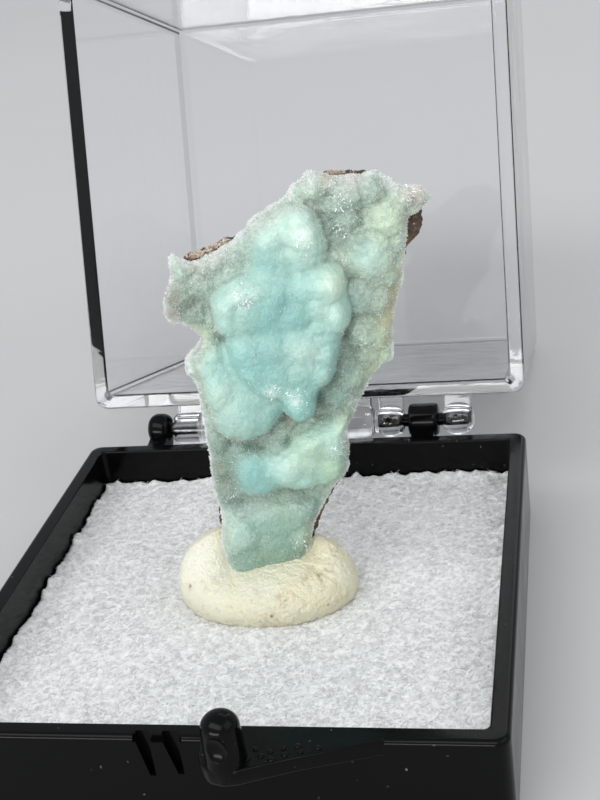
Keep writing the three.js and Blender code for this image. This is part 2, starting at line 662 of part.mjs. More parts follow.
/** Height of the putty above the foam: low in front of the stone, high at its sides and behind it. */
function puttyCrest(x, y) {
  const step = THREE.MathUtils.smoothstep;
  const [dx, dy] = [x - specimenPlace.x, y - specimenPlace.y];
  const across = dx * Math.cos(specimenYaw) + dy * Math.sin(specimenYaw);
  const out = dx * Math.sin(specimenYaw) - dy * Math.cos(specimenYaw);
  const side = puttyLeft + (puttyRight - puttyLeft) * step(across, -2.5, 3.0);
  const beside = step(-across, 2.0, 4.0) + step(across, 2.8, 4.8);
  const near = 1.35 + 1.2 * beside;
  const back = 1 - step(out, near - 1.6 - 0.8 * beside, near);
  const flank = 1.3 * step(-across, 1.9, 3.6) + 0.35 * step(across, -1.0, 3.2) + 0.9 * step(across, 2.8, 4.6);
  const lip = puttyLip + flank;
  return lip + (side - lip) * back;
}

/** A thumbed lump of putty with the pocket that the specimen's foot stands in. */
function puttyGeometry() {
  const around = 40;
  const lowRows = 3;
  const highRows = 12;
  const lowestBow = Math.asin((softGap - puttyBulge) / puttyUndercut);
  const positions = [];
  const faces = [];
  for (let j = 0; j < lowRows + highRows; j++) {
    for (let i = 0; i < around; i++) {
      const a = (2 * Math.PI * i) / around;
      const reach = puttyReach(a);
      let [out, rise] = [reach, puttyBulge];
      if (j < lowRows) {
        const bow = lowestBow * (1 - j / lowRows);
        out -= puttyTuck * (1 - Math.cos(bow));
        rise += puttyUndercut * Math.sin(bow);
      } else {
        const share = Math.cos(((Math.PI / 2) * (j - lowRows)) / highRows);
        out *= share;
        const crest = puttyCrest(puttyCentre.x + out * Math.cos(a), puttyCentre.y + out * Math.sin(a));
        rise += (crest - puttyBulge) * Math.sqrt(1 - share ** 3.1);
      }
      positions.push(puttyCentre.x + out * Math.cos(a), puttyCentre.y + out * Math.sin(a), foamTop + rise);
    }
  }
  for (let j = 0; j < lowRows + highRows - 1; j++) {
    for (let i = 0; i < around; i++) {
      const a = j * around + i;
      const b = j * around + ((i + 1) % around);
      faces.push(a, b, b + around, a, b + around, a + around);
    }
  }
  const bottom = positions.length / 3;
  const last = bottom - around;
  positions.push(puttyCentre.x, puttyCentre.y, foamTop + softGap);
  positions.push(puttyCentre.x, puttyCentre.y, foamTop + puttyCrest(puttyCentre.x, puttyCentre.y));
  for (let i = 0; i < around; i++) {
    const next = (i + 1) % around;
    faces.push(bottom, next, i);
    faces.push(bottom + 1, last + i, last + next);
  }
  const geometry = new THREE.BufferGeometry();
  geometry.setAttribute('position', new THREE.Float32BufferAttribute(positions, 3));
  geometry.setIndex(faces);

  const foot = crustEdge.filter(([, y]) => y < 3.2);
  const low = [
    Math.min(...foot.map((p) => p[0])) - softGap,
    Math.min(...foot.map((p) => p[1])) - softGap,
    -softGap - matrixThickness - 0.7,
  ];
  const high = [puttyPocket.right, 12, puttyPocket.front];
  const pocket = new THREE.BoxGeometry(1, 1, 1);
  pocket.translate(0.5, 0.5, 0.5);
  pocket.scale(high[0] - low[0], high[1] - low[1], high[2] - low[2]);
  pocket.translate(...low);
  pocket.applyMatrix4(specimenFrame);
  return geometryOf(solidOf(geometry).subtract(solidOf(pocket)));
}

// ---------------------------------------------------------------- assembly

function named(name, geometry, colour, roughness) {
  const material = new THREE.MeshStandardMaterial({ color: colour, roughness, metalness: 0 });
  const mesh = new THREE.Mesh(geometry, material);
  mesh.name = name;
  return mesh;
}

const displayBox = new THREE.Group();
displayBox.add(named('tray', trayGeometry(), 0x0b0c0d, 0.18));
displayBox.add(named('foam_pad', foamGeometry(), 0xe4e6e8, 0.9));
displayBox.add(named('putty', puttyGeometry(), 0xe9e2cc, 0.75));

const hinge = new THREE.Group();
hinge.position.set(0, hingeAxis.y, hingeAxis.z);
hinge.rotation.x = -lidRestAngle;
const lid = named('lid', lidGeometry(), 0xf4f6f8, 0.05);
lid.material.transparent = true;
lid.material.opacity = 0.3;
hinge.add(lid);
displayBox.add(hinge);

const specimen = new THREE.Group();
specimen.applyMatrix4(specimenFrame);
specimen.add(named('hemimorphite_crust', crustGeometry(), 0xa9cfc6, 0.35));
specimen.add(named('limonite_matrix', matrixGeometry(), 0x5a4636, 0.9));
displayBox.add(specimen);

export default displayBox;
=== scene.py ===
import math

import bmesh
import bpy
import numpy as np
from mathutils import Matrix, Vector


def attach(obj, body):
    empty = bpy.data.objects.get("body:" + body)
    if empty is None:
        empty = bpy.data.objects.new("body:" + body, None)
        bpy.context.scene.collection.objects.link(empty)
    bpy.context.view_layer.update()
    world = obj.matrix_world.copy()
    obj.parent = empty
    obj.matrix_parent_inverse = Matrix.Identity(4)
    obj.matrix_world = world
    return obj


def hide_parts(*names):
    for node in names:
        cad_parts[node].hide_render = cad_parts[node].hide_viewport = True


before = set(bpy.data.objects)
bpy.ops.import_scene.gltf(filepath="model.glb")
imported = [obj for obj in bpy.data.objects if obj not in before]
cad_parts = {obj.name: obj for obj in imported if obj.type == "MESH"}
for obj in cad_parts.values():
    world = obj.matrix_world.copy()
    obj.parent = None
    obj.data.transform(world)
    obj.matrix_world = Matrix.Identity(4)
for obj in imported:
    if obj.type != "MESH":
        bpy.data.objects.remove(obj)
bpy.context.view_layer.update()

# Shapes are worked out in millimetres, +Z up, and made metres when their mesh is built.
mm = 0.001

camera = {
    "place": (21.48, -69.15, 52.25),
    "target": (4.26, 1.0, 17.94),
    "roll": -8.34,  # degrees
    "lens": 58.5,
    "sensor": 36.0,
    "clip": (0.001, 20),  # metres
}


def addObject(name, data):
    made = bpy.data.objects.new(name, data)
    bpy.context.scene.collection.objects.link(made)
    return made


# At a place and turned to look at a target
def aimed(place, target, unit=1):
    way = Vector(target) - Vector(place)
    return Matrix.Translation(Vector(place) * unit) @ way.to_track_quat("-Z", "Y").to_matrix().to_4x4()


def setCamera():
    data = bpy.data.cameras.new("camera")
    data.sensor_fit = "AUTO"
    data.sensor_width = camera["sensor"]
    data.lens = camera["lens"]
    data.clip_start, data.clip_end = camera["clip"]
    shooter = addObject("camera", data)
    roll = Matrix.Rotation(math.radians(camera["roll"]), 4, "Z")
    shooter.matrix_world = aimed(camera["place"], camera["target"], mm) @ roll
    bpy.context.scene.camera = shooter


setCamera()
print("camera set")

weldReach = 0.003  # closes the slivers that joining pieces can leave
creaseAngle = 32  # degrees, edges sharper than this stay sharp


def meshObject(name, points, faces, scale=mm):
    mesh = bpy.data.meshes.new(name)
    mesh.from_pydata([[c * scale for c in p] for p in points], [], faces)
    mesh.update()
    return addObject(name, mesh)


# Runs change on the piece's mesh, opened for editing
def editMesh(piece, change):
    edit = bmesh.new()
    edit.from_mesh(piece.data)
    change(edit)
    edit.to_mesh(piece.data)
    edit.free()
    piece.data.update()
    return piece


def faceOutwards(piece):
    def change(edit):
        bmesh.ops.remove_doubles(edit, verts=edit.verts, dist=1e-7)
        bmesh.ops.recalc_face_normals(edit, faces=edit.faces)

    return editMesh(piece, change)


def weld(edit):
    bmesh.ops.remove_doubles(edit, verts=edit.verts, dist=weldReach * mm)


# The piece's mesh as its modifiers leave it
def evaluatedMesh(piece):
    bpy.context.view_layer.update()
    graph = bpy.context.evaluated_depsgraph_get()
    return bpy.data.meshes.new_from_object(piece.evaluated_get(graph))


def applyModifiers(piece):
    mesh = evaluatedMesh(piece)
    piece.modifiers.clear()
    old = piece.data
    piece.data = mesh
    bpy.data.meshes.remove(old)
    return piece


# Joins or cuts two closed pieces and removes the second one
def combine(piece, other, operation):
    tool = piece.modifiers.new("combine", "BOOLEAN")
    tool.operation = operation
    tool.solver = "EXACT"
    tool.object = other
    applyModifiers(piece)
    bpy.data.objects.remove(other)
    return piece


# Moves the mesh, not the object. The matrix is in metres
def placeMesh(piece, matrix):
    piece.data.transform(matrix)
    piece.data.update()
    return piece


def shiftBy(x, y, z):
    return Matrix.Translation(Vector((x, y, z)) * mm)


def shadeSmooth(piece):
    piece.data.shade_smooth()
    piece.data.set_sharp_from_angle(angle=math.radians(creaseAngle))
    tool = piece.modifiers.new("normals", "WEIGHTED_NORMAL")
    tool.keep_sharp = True
    tool.weight = 90
    return applyModifiers(piece)


def give(piece, material):
    piece.data.materials.clear()
    piece.data.materials.append(material)
    return piece


# The quads between two rings of points, from their first numbers
def band(low, high, count):
    return [(low + i, low + (i + 1) % count, high + (i + 1) % count, high + i) for i in range(count)]


# A closed skin through rings of equal length, with a flat cap at both ends
def loft(name, rings):
    count = len(rings[0])
    points = [p for ring in rings for p in ring]
    faces = []
    for k in range(len(rings) - 1):
        faces += band(k * count, (k + 1) * count, count)
    faces.append(tuple(reversed(range(count))))
    faces.append(tuple(range(len(points) - count, len(points))))
    return faceOutwards(meshObject(name, points, faces))


# A turned form about Z from (radius, height) pairs that start and end on the axis
def turned(name, profile, segments=32):
    points = [(0, 0, profile[0][1])]
    rings = []
    for radius, height in profile[1:-1]:
        rings.append(len(points))
        for i in range(segments):
            a = 2 * math.pi * i / segments
            points.append((radius * math.cos(a), radius * math.sin(a), height))
    points.append((0, 0, profile[-1][1]))
    last = len(points) - 1
    faces = []
    for i in range(segments):
        j = (i + 1) % segments
        faces.append((0, rings[0] + j, rings[0] + i))
        faces.append((last, rings[-1] + i, rings[-1] + j))
        for low, high in zip(rings, rings[1:]):
            faces.append((low + i, low + j, high + j, high + i))
    return faceOutwards(meshObject(name, points, faces))


# An outline in the XY plane, raised from low to high, with its edges rounded
def prism(name, outline, low, high, bevel=0.0, segments=3):
    count = len(outline)
    points = [(x, y, low) for x, y in outline] + [(x, y, high) for x, y in outline]
    faces = [tuple(reversed(range(count))), tuple(range(count, 2 * count))] + band(0, count, count)
    piece = faceOutwards(meshObject(name, points, faces))

    def change(edit):
        bmesh.ops.bevel(edit, geom=edit.edges, offset=bevel * mm, segments=segments, affect="EDGES",
                        profile=0.5, clamp_overlap=True)

    return editMesh(piece, change) if bevel else piece


alongX = Matrix.Rotation(math.radians(90), 4, "Y")  # turns a form from Z to X
upright = Matrix.Rotation(math.radians(90), 4, "X")  # turns Y to Z, and Z to -Y


# A square with rounded corners, counterclockwise from above
def squareRing(half, radius, z, steps=8):
    ring = []
    for k, (sx, sy) in enumerate([(1, -1), (1, 1), (-1, 1), (-1, -1)]):
        for i in range(steps + 1):
            a = math.radians(90 * (k - 1) + 90 * i / steps)
            c = half - radius
            ring.append((sx * c + radius * math.cos(a), sy * c + radius * math.sin(a), z))
    return ring


# Rings round an edge of a square form. The fillet's centre is at (half, z)
def filletRings(half, radius, z, size, start, end, steps=4):
    rings = []
    for i in range(steps + 1):
        a = math.radians(start + (end - start) * i / steps)
        out = size * math.cos(a)
        rings.append(squareRing(half + out, max(radius + out, 0.02), z + size * math.sin(a)))
    return rings


def softMax(a, b, width):
    h = np.maximum(width - np.abs(a - b), 0) / width
    return np.maximum(a, b) + h * h * width / 4


def smoothStep(x, low, high):
    t = np.clip((x - low) / (high - low), 0, 1)
    return t * t * (3 - 2 * t)


# Smooth repeatable unevenness from 0 to 1 with lumps of the given size
def softNoise(x, y, size, seed, side=64):
    lattice = np.random.default_rng(seed).random((side, side))
    u, v = np.asarray(x) / size + 100.0, np.asarray(y) / size + 100.0
    i, j = np.floor(u).astype(int), np.floor(v).astype(int)
    fu, fv = smoothStep(u - i, 0, 1), smoothStep(v - j, 0, 1)

    def at(di, dj):
        return lattice[(i + di) % side, (j + dj) % side]

    low = at(0, 0) * (1 - fu) + at(1, 0) * fu
    high = at(0, 1) * (1 - fu) + at(1, 1) * fu
    return low * (1 - fv) + high * fv


def socketNamed(sockets, name):
    found = [s for s in sockets if s.name == name and s.enabled]
    return found[0] if found else sockets[name]


# Links or sets a node's inputs, by name or number
def fillInputs(tree, node, values):
    for key, value in values.items():
        socket = node.inputs[key] if isinstance(key, int) else socketNamed(node.inputs, key)
        if isinstance(value, bpy.types.NodeSocket):
            tree.links.new(value, socket)
        else:
            socket.default_value = value


def addNode(tree, kind, values=None, **settings):
    node = tree.nodes.new(kind)
    for key, value in settings.items():
        setattr(node, key, value)
    fillInputs(tree, node, values or {})
    return node


# A node group with named sockets. inlets holds (name, socket type, value)
def newTree(name, kind, inlets, outlets):
    tree = bpy.data.node_groups.new(name, kind)
    for label, socketType, value in inlets:
        socket = tree.interface.new_socket(label, in_out="INPUT", socket_type="NodeSocket" + socketType)
        if value is not None:
            socket.default_value = value
    for label, socketType in outlets:
        tree.interface.new_socket(label, in_out="OUTPUT", socket_type="NodeSocket" + socketType)
    return tree, tree.nodes.new("NodeGroupInput").outputs, tree.nodes.new("NodeGroupOutput").inputs


def calculate(tree, operation, a, b=0.0, clamp=False):
    return addNode(tree, "ShaderNodeMath", {0: a, 1: b}, operation=operation, use_clamp=clamp).outputs[0]


def plus(tree, a, b):
    return calculate(tree, "ADD", a, b)


def minus(tree, a, b):
    return calculate(tree, "SUBTRACT", a, b)


def times(tree, a, b, clamp=False):
    return calculate(tree, "MULTIPLY", a, b, clamp)


# The texture scale for a size in millimetres
def scaleFor(tree, size):
    return calculate(tree, "DIVIDE", 1 / mm, size)


def vectorMath(tree, operation, a, b):
    second = "Scale" if operation == "SCALE" else 1
    return addNode(tree, "ShaderNodeVectorMath", {0: a, second: b}, operation=operation).outputs[0]


# The place, moved by reach times a noise that is taken from its middle value
def bentPlace(tree, place, noise, reach, middle=0.5):
    way = vectorMath(tree, "SUBTRACT", socketNamed(noise.outputs, "Color"), (middle, middle, middle))
    return vectorMath(tree, "ADD", place, vectorMath(tree, "SCALE", way, reach))


def stretch(tree, value, low, high, newLow=0.0, newHigh=1.0):
    values = {"Value": value, "From Min": low, "From Max": high, "To Min": newLow, "To Max": newHigh}
    return addNode(tree, "ShaderNodeMapRange", values).outputs["Result"]


def blendColour(tree, factor, a, b):
    return addNode(tree, "ShaderNodeMix", {0: factor, 6: a, 7: b}, data_type="RGBA").outputs[2]


def rgb(r, g, b):
    return (r, g, b, 1.0)


# Runs a geometry tree on the piece. Gives a new plain piece if a name is given
def runTree(piece, tree, values, name=None):
    tool = piece.modifiers.new("nodes", "NODES")
    tool.node_group = tree
    for item in tree.interface.items_tree:
        if item.in_out == "INPUT" and item.name in values:
            tool[item.identifier] = values[item.name]
    if name is None:
        return applyModifiers(piece)
    mesh = evaluatedMesh(piece)
    piece.modifiers.remove(tool)
    mesh.name = name
    return addObject(name, mesh)


# Cloudy unevenness at two sizes: a coarse one and a fine one
def makeMottle():
    tree, inlet, outlet = newTree(
        "mottle", "ShaderNodeTree", [("Size", "Float", 1.0), ("Fine Size", "Float", 0.1)],
        [("Cloud", "Float"), ("Grain", "Float")])
    place = addNode(tree, "ShaderNodeTexCoord").outputs["Object"]
    for size, detail, label in (("Size", 4.0, "Cloud"), ("Fine Size", 3.0, "Grain")):
        noise = addNode(tree, "ShaderNodeTexNoise", {
            "Vector": place, "Scale": scaleFor(tree, inlet[size]), "Detail": detail, "Roughness": 0.6})
        tree.links.new(stretch(tree, noise.outputs["Fac"], 0.3, 0.7), outlet[label])
    return tree


# Small scattered specks: Size is their spacing in millimetres, and Share how many show
def makeSpecks():
    tree, inlet, outlet = newTree(
        "specks", "ShaderNodeTree",
        [("Size", "Float", 1.0), ("Share", "Float", 0.3), ("Width", "Float", 0.1)], [("Mask", "Float")])
    place = addNode(tree, "ShaderNodeTexCoord").outputs["Object"]
    scale = scaleFor(tree, inlet["Size"])
    warp = addNode(tree, "ShaderNodeTexNoise", {"Vector": place, "Scale": times(tree, scale, 2.5)})
    cells = addNode(tree, "ShaderNodeTexVoronoi",
                    {"Vector": bentPlace(tree, place, warp, 0.3 * mm, 0.0), "Scale": scale})
    near = stretch(tree, cells.outputs["Distance"], inlet["Width"], 0.0)
    chance = addNode(tree, "ShaderNodeSeparateColor", {0: cells.outputs["Color"]})
    chosen = calculate(tree, "LESS_THAN", chance.outputs[0], inlet["Share"])
    tree.links.new(times(tree, near, chosen), outlet["Mask"])
    return tree


# Thin crooked lines, as the torn walls of foam cells leave: Size is their spacing in millimetres
def makeCrinkle():
    tree, inlet, outlet = newTree(
        "crinkle", "ShaderNodeTree",
        [("Size", "Float", 0.4), ("Width", "Float", 0.1), ("Warp", "Float", 0.5)], [("Line", "Float")])
    place = addNode(tree, "ShaderNodeTexCoord").outputs["Object"]
    scale = scaleFor(tree, inlet["Size"])
    warp = addNode(tree, "ShaderNodeTexNoise", {"Vector": place, "Scale": times(tree, scale, 0.9)})
    reach = times(tree, times(tree, inlet["Size"], inlet["Warp"]), 4 * mm)
    cells = addNode(tree, "ShaderNodeTexVoronoi",
                    {"Vector": bentPlace(tree, place, warp, reach), "Scale": scale},
                    feature="DISTANCE_TO_EDGE")
    line = stretch(tree, cells.outputs["Distance"], inlet["Width"], 0.0)
    broken = stretch(tree, warp.outputs["Fac"], 0.4, 0.55)
    tree.links.new(times(tree, line, broken), outlet["Line"])
    return tree


mottle = makeMottle()
specks = makeSpecks()
crinkle = makeCrinkle()


def useGroup(tree, group, **values):
    node = addNode(tree, "ShaderNodeGroup", node_tree=group)
    for key, value in values.items():
        node.inputs[key].default_value = value
    return node.outputs


def cloudy(tree, size, fineSize):
    outputs = useGroup(tree, mottle, **{"Size": size, "Fine Size": fineSize})
    return outputs["Cloud"], outputs["Grain"]


def speckled(tree, size, share, width):
    return useGroup(tree, specks, Size=size, Share=share, Width=width)["Mask"]


def crinkled(tree, size, width, warp):
    return useGroup(tree, crinkle, Size=size, Width=width, Warp=warp)["Line"]


# A material from a function that gives the shader's inputs for its tree
def newMaterial(name, inputsFor):
    material = bpy.data.materials.new(name)
    material.use_nodes = True
    tree = material.node_tree
    fillInputs(tree, tree.nodes["Principled BSDF"], inputsFor(tree))
    return material


def bumpFrom(tree, height, distance, strength=1.0):
    values = {"Height": height, "Distance": distance * mm, "Strength": strength}
    return addNode(tree, "ShaderNodeBump", values).outputs["Normal"]


def attributeOf(tree, name):
    return addNode(tree, "ShaderNodeAttribute", attribute_name=name).outputs["Fac"]


# Light under the skin. The depth is in millimetres
def glowing(weight, radius, depth):
    return {"Subsurface Weight": weight, "Subsurface Radius": radius, "Subsurface Scale": depth * mm}


def blackPlasticInputs(tree):
    cloud, grain = cloudy(tree, 4.0, 0.25)
    dust = calculate(tree, "MAXIMUM", speckled(tree, 0.55, 0.16, 0.16), speckled(tree, 1.7, 0.2, 0.07))
    dustCover = times(tree, dust, stretch(tree, cloud, 0.35, 0.8, 0.0, 0.55))
    worn = stretch(tree, cloud, 0, 1, 0.12, 0.22)
    relief = plus(tree, grain, times(tree, dustCover, 6.0))
    return {
        "Base Color": blendColour(tree, dustCover, rgb(0.002, 0.002, 0.0022), rgb(0.42, 0.42, 0.4)),
        "Roughness": calculate(tree, "MAXIMUM", worn, dustCover),
        "Normal": bumpFrom(tree, relief, 0.002, 0.25), "Specular IOR Level": 0.12}


def clearPlasticInputs(tree):
    cloud = cloudy(tree, 9.0, 0.8)[0]
    return {"Base Color": rgb(0.985, 0.992, 1.0), "Roughness": 0.02, "IOR": 1.49,
            "Transmission Weight": 1.0, "Normal": bumpFrom(tree, cloud, 0.02, 0.35)}


def foamInputs(tree):
    cloud, grain = cloudy(tree, 2.6, 0.16)
    fine, finer = crinkled(tree, 0.6, 0.17, 0.55), crinkled(tree, 0.34, 0.2, 0.6)
    lines = calculate(tree, "MAXIMUM", fine, times(tree, finer, 0.75))
    colour = blendColour(tree, cloud, rgb(0.52, 0.53, 0.525), rgb(0.68, 0.685, 0.68))
    # painted light: the raised cell walls are coloured lighter than the sunken cells between them
    raised = stretch(tree, attributeOf(tree, "raised"), 0.2, 0.95, 0.0, 0.5)
    colour = blendColour(tree, raised, colour, rgb(0.84, 0.84, 0.83))
    relief = plus(tree, times(tree, grain, 0.4), lines)
    return {
        "Base Color": blendColour(tree, lines, colour, rgb(0.98, 0.98, 0.97)), "Roughness": 0.5,
        "Specular IOR Level": 0.4, "Normal": bumpFrom(tree, relief, 0.03, 0.12),
        **glowing(0.4, (1, 1, 1), 0.3)}


def strandInputs(tree):
    cloud = cloudy(tree, 1.6, 0.12)[0]
    colour = blendColour(tree, cloud, rgb(0.95, 0.95, 0.945), rgb(0.99, 0.99, 0.985))
    return {"Base Color": colour, "Roughness": 0.45, **glowing(0.5, (1, 1, 1), 0.3)}


def puttyInputs(tree):
    cloud, grain = cloudy(tree, 2.2, 0.13)
    crumbly, fine = cloudy(tree, 0.5, 0.07)
    colour = blendColour(tree, cloud, rgb(0.93, 0.86, 0.60), rgb(0.98, 0.95, 0.76))
    # painted light: brighter where the light falls on the lump's upper left and front
    colour = blendColour(tree, attributeOf(tree, "paintedLight"), colour, rgb(0.99, 0.975, 0.82))
    tan = times(tree, attributeOf(tree, "tan"), stretch(tree, crumbly, 0.35, 0.75))
    colour = blendColour(tree, tan, colour, rgb(0.50, 0.34, 0.19))
    colour = blendColour(tree, attributeOf(tree, "dirt"), colour, rgb(0.14, 0.08, 0.045))
    # painted shade: darker brown where the crumbly bump lies low
    pitShade = stretch(tree, crumbly, 0.0, 0.3, 0.35, 0.0)
    colour = blendColour(tree, pitShade, colour, rgb(0.58, 0.48, 0.32))
    coarse = stretch(tree, attributeOf(tree, "coarse"), 0.35, 1.0, 0.1, 0.9)
    crumbs = times(tree, speckled(tree, 0.36, 0.3, 0.22), coarse)
    relief = plus(tree, plus(tree, grain, times(tree, crumbly, 1.4)), times(tree, fine, 0.5))
    return {
        "Base Color": blendColour(tree, crumbs, colour, rgb(0.36, 0.27, 0.18)), "Roughness": 0.66,
        "Normal": bumpFrom(tree, relief, 0.08), **glowing(0.25, (1.0, 0.85, 0.6), 0.3)}


stoneIor = 1.62


# The crust's aqua stone: smooth on its lobes and granular on the plate between them
def hemimorphiteInputs(tree):
    cloud, grain = cloudy(tree, 1.1, 0.14)
    patchy = cloudy(tree, 0.42, 0.2)[0]
    plate, knob = attributeOf(tree, "plate"), attributeOf(tree, "knob")
    sway = plus(tree, stretch(tree, cloud, 0, 1, -0.2, 0.2), stretch(tree, patchy, 0, 1, -0.2, 0.2))
    sway = times(tree, sway, stretch(tree, plate, 0, 1, 0.6, 1.2))
    # painted light: paler on the tops of the small cells and darker between them
    knobLight = times(tree, stretch(tree, knob, 0, 1, -0.3, 0.25), stretch(tree, plate, 0, 1, 0.35, 0.9))
    # the pale tone is partly painted light, paler on the lit lobe tops
    pale = plus(tree, attributeOf(tree, "pale"), plus(tree, sway, knobLight))
    aqua = blendColour(tree, stretch(tree, pale, -0.2, 1.0),
                       rgb(0.235, 0.455, 0.405), rgb(0.56, 0.735, 0.63))
    margin = blendColour(tree, stretch(tree, pale, -0.5, 1.0),
                         rgb(0.20, 0.29, 0.24), rgb(0.55, 0.66, 0.55))
    colour = blendColour(tree, plate, aqua, margin)
    for label, tint, share in (
        ("blue", rgb(0.25, 0.54, 0.53), 0.5),
        # darker blue in the valleys between the lobes: the stone's deeper colour, partly painted shade
        ("deep", rgb(0.16, 0.35, 0.34), 0.6),
        ("green", rgb(0.55, 0.66, 0.42), 0.75),
        ("olive", rgb(0.21, 0.325, 0.22), 0.6),
        # a whitish film on the lobe tops, partly painted highlight
        ("veilAndHighlight", rgb(0.80, 0.91, 0.86), 0.6),
        ("frost", rgb(0.84, 0.87, 0.85), 0.95),
        ("ochre", rgb(0.42, 0.36, 0.17), 0.95),
        ("brown", rgb(0.22, 0.16, 0.11), 0.85),
        ("rose", rgb(0.62, 0.53, 0.50), 0.85),
    ):
        ragged = times(tree, attributeOf(tree, label), stretch(tree, patchy, 0, 1, 0.45, 1.3))
        colour = blendColour(tree, times(tree, ragged, share, clamp=True), colour, tint)
    # painted shade: the crust is coloured dark where its face lies in a crease or hollow
    shadowed = times(tree, attributeOf(tree, "crease"), 0.6, clamp=True)
    colour = blendColour(tree, shadowed, colour, rgb(0.15, 0.20, 0.165))
    place = addNode(tree, "ShaderNodeTexCoord").outputs["Object"]
    sugar = addNode(tree, "ShaderNodeTexVoronoi", {"Vector": place, "Scale": 1 / (0.11 * mm)})
    glint = stretch(tree, sugar.outputs["Distance"], 0.18, 0.62, 1.0, 0.0)
    # painted glints: pale specks on the sugary cells of the plate
    paintedLight = times(tree, glint, stretch(tree, plate, 0, 1, 0.07, 0.2))
    relief = plus(tree, grain, times(tree, glint, 0.6))
    relief = times(tree, relief, stretch(tree, plate, 0, 1, 0.55, 1.1))
    return {
        "Base Color": blendColour(tree, paintedLight, colour, rgb(0.85, 0.93, 0.9)), "IOR": stoneIor,
        "Roughness": stretch(tree, grain, 0, 1, 0.3, 0.5),
        "Normal": bumpFrom(tree, relief, 0.042, 0.9), **glowing(0.3, (0.55, 1.0, 0.95), 0.4)}


# A sugary skin of tiny crystals between two colours
def sugarMaterial(name, dark, light):
    def sugarInputs(tree):
        mixed = times(tree, plus(tree, *cloudy(tree, 0.6, 0.12)), 0.5)
        return {"Base Color": blendColour(tree, mixed, dark, light), "Roughness": 0.28, "IOR": stoneIor,
                **glowing(0.5, (0.8, 1.0, 0.95), 0.25)}

    return newMaterial(name, sugarInputs)


def crystalInputs(tree):
    cloud = cloudy(tree, 0.8, 0.1)[0]
    colour = blendColour(tree, cloud, rgb(0.90, 0.97, 0.95), rgb(0.99, 0.99, 0.98))
    return {"Base Color": colour, "Roughness": 0.12, "IOR": stoneIor}


def limoniteInputs(tree):
    cloud, grain = cloudy(tree, 1.5, 0.18)
    colour = blendColour(tree, cloud, rgb(0.026, 0.018, 0.013), rgb(0.10, 0.066, 0.042))
    ridged = stretch(tree, grain, 0.55, 1.0, 0.0, 0.6)
    colour = blendColour(tree, ridged, colour, rgb(0.27, 0.20, 0.13))
    patchy = cloudy(tree, 0.5, 0.1)[0]
    bare = times(tree, attributeOf(tree, "grow"), stretch(tree, patchy, 0.3, 0.7), clamp=True)
    colour = blendColour(tree, bare, colour, rgb(0.44, 0.35, 0.26))
    rust = times(tree, speckled(tree, 1.4, 0.35, 0.5), 0.6)
    colour = blendColour(tree, rust, colour, rgb(0.40, 0.22, 0.07))
    white = speckled(tree, 0.6, 0.1, 0.2)
    return {"Base Color": blendColour(tree, white, colour, rgb(0.62, 0.6, 0.54)), "Roughness": 0.75,
            "Normal": bumpFrom(tree, grain, 0.08)}


def floorInputs(tree):
    cloud = cloudy(tree, 180.0, 3.0)[0]
    return {"Base Color": blendColour(tree, cloud, rgb(0.54, 0.54, 0.54), rgb(0.57, 0.57, 0.57)),
            "Roughness": 0.8}


blackPlastic = newMaterial("blackPlastic", blackPlasticInputs)
clearPlastic = newMaterial("clearPlastic", clearPlasticInputs)
whiteFoam = newMaterial("whiteFoam", foamInputs)
foamStrand = newMaterial("foamStrand", strandInputs)
creamPutty = newMaterial("creamPutty", puttyInputs)
hemimorphite = newMaterial("hemimorphite", hemimorphiteInputs)
plateSugar = sugarMaterial("plateSugar", rgb(0.48, 0.60, 0.52), rgb(0.78, 0.86, 0.80))
edgeSugar = sugarMaterial("edgeSugar", rgb(0.66, 0.70, 0.67), rgb(0.92, 0.94, 0.93))
matrixSugar = sugarMaterial("matrixSugar", rgb(0.36, 0.26, 0.18), rgb(0.82, 0.74, 0.66))
clearCrystal = newMaterial("clearCrystal", crystalInputs)
limonite = newMaterial("limonite", limoniteInputs)
print("materials made")


# Moves points along their normals by a length in millimetres, and keeps a number for each
def moveOut(tree, geometry, length, label, value):
    normal = addNode(tree, "GeometryNodeInputNormal").outputs["Normal"]
    kept = addNode(tree, "GeometryNodeStoreNamedAttribute", {
        "Geometry": geometry, "Name": label, "Value": value}, data_type="FLOAT", domain="POINT")
    offset = vectorMath(tree, "SCALE", normal, times(tree, length, mm))
    moved = addNode(tree, "GeometryNodeSetPosition", {"Geometry": kept.outputs[0], "Offset": offset})
    return moved.outputs[0]


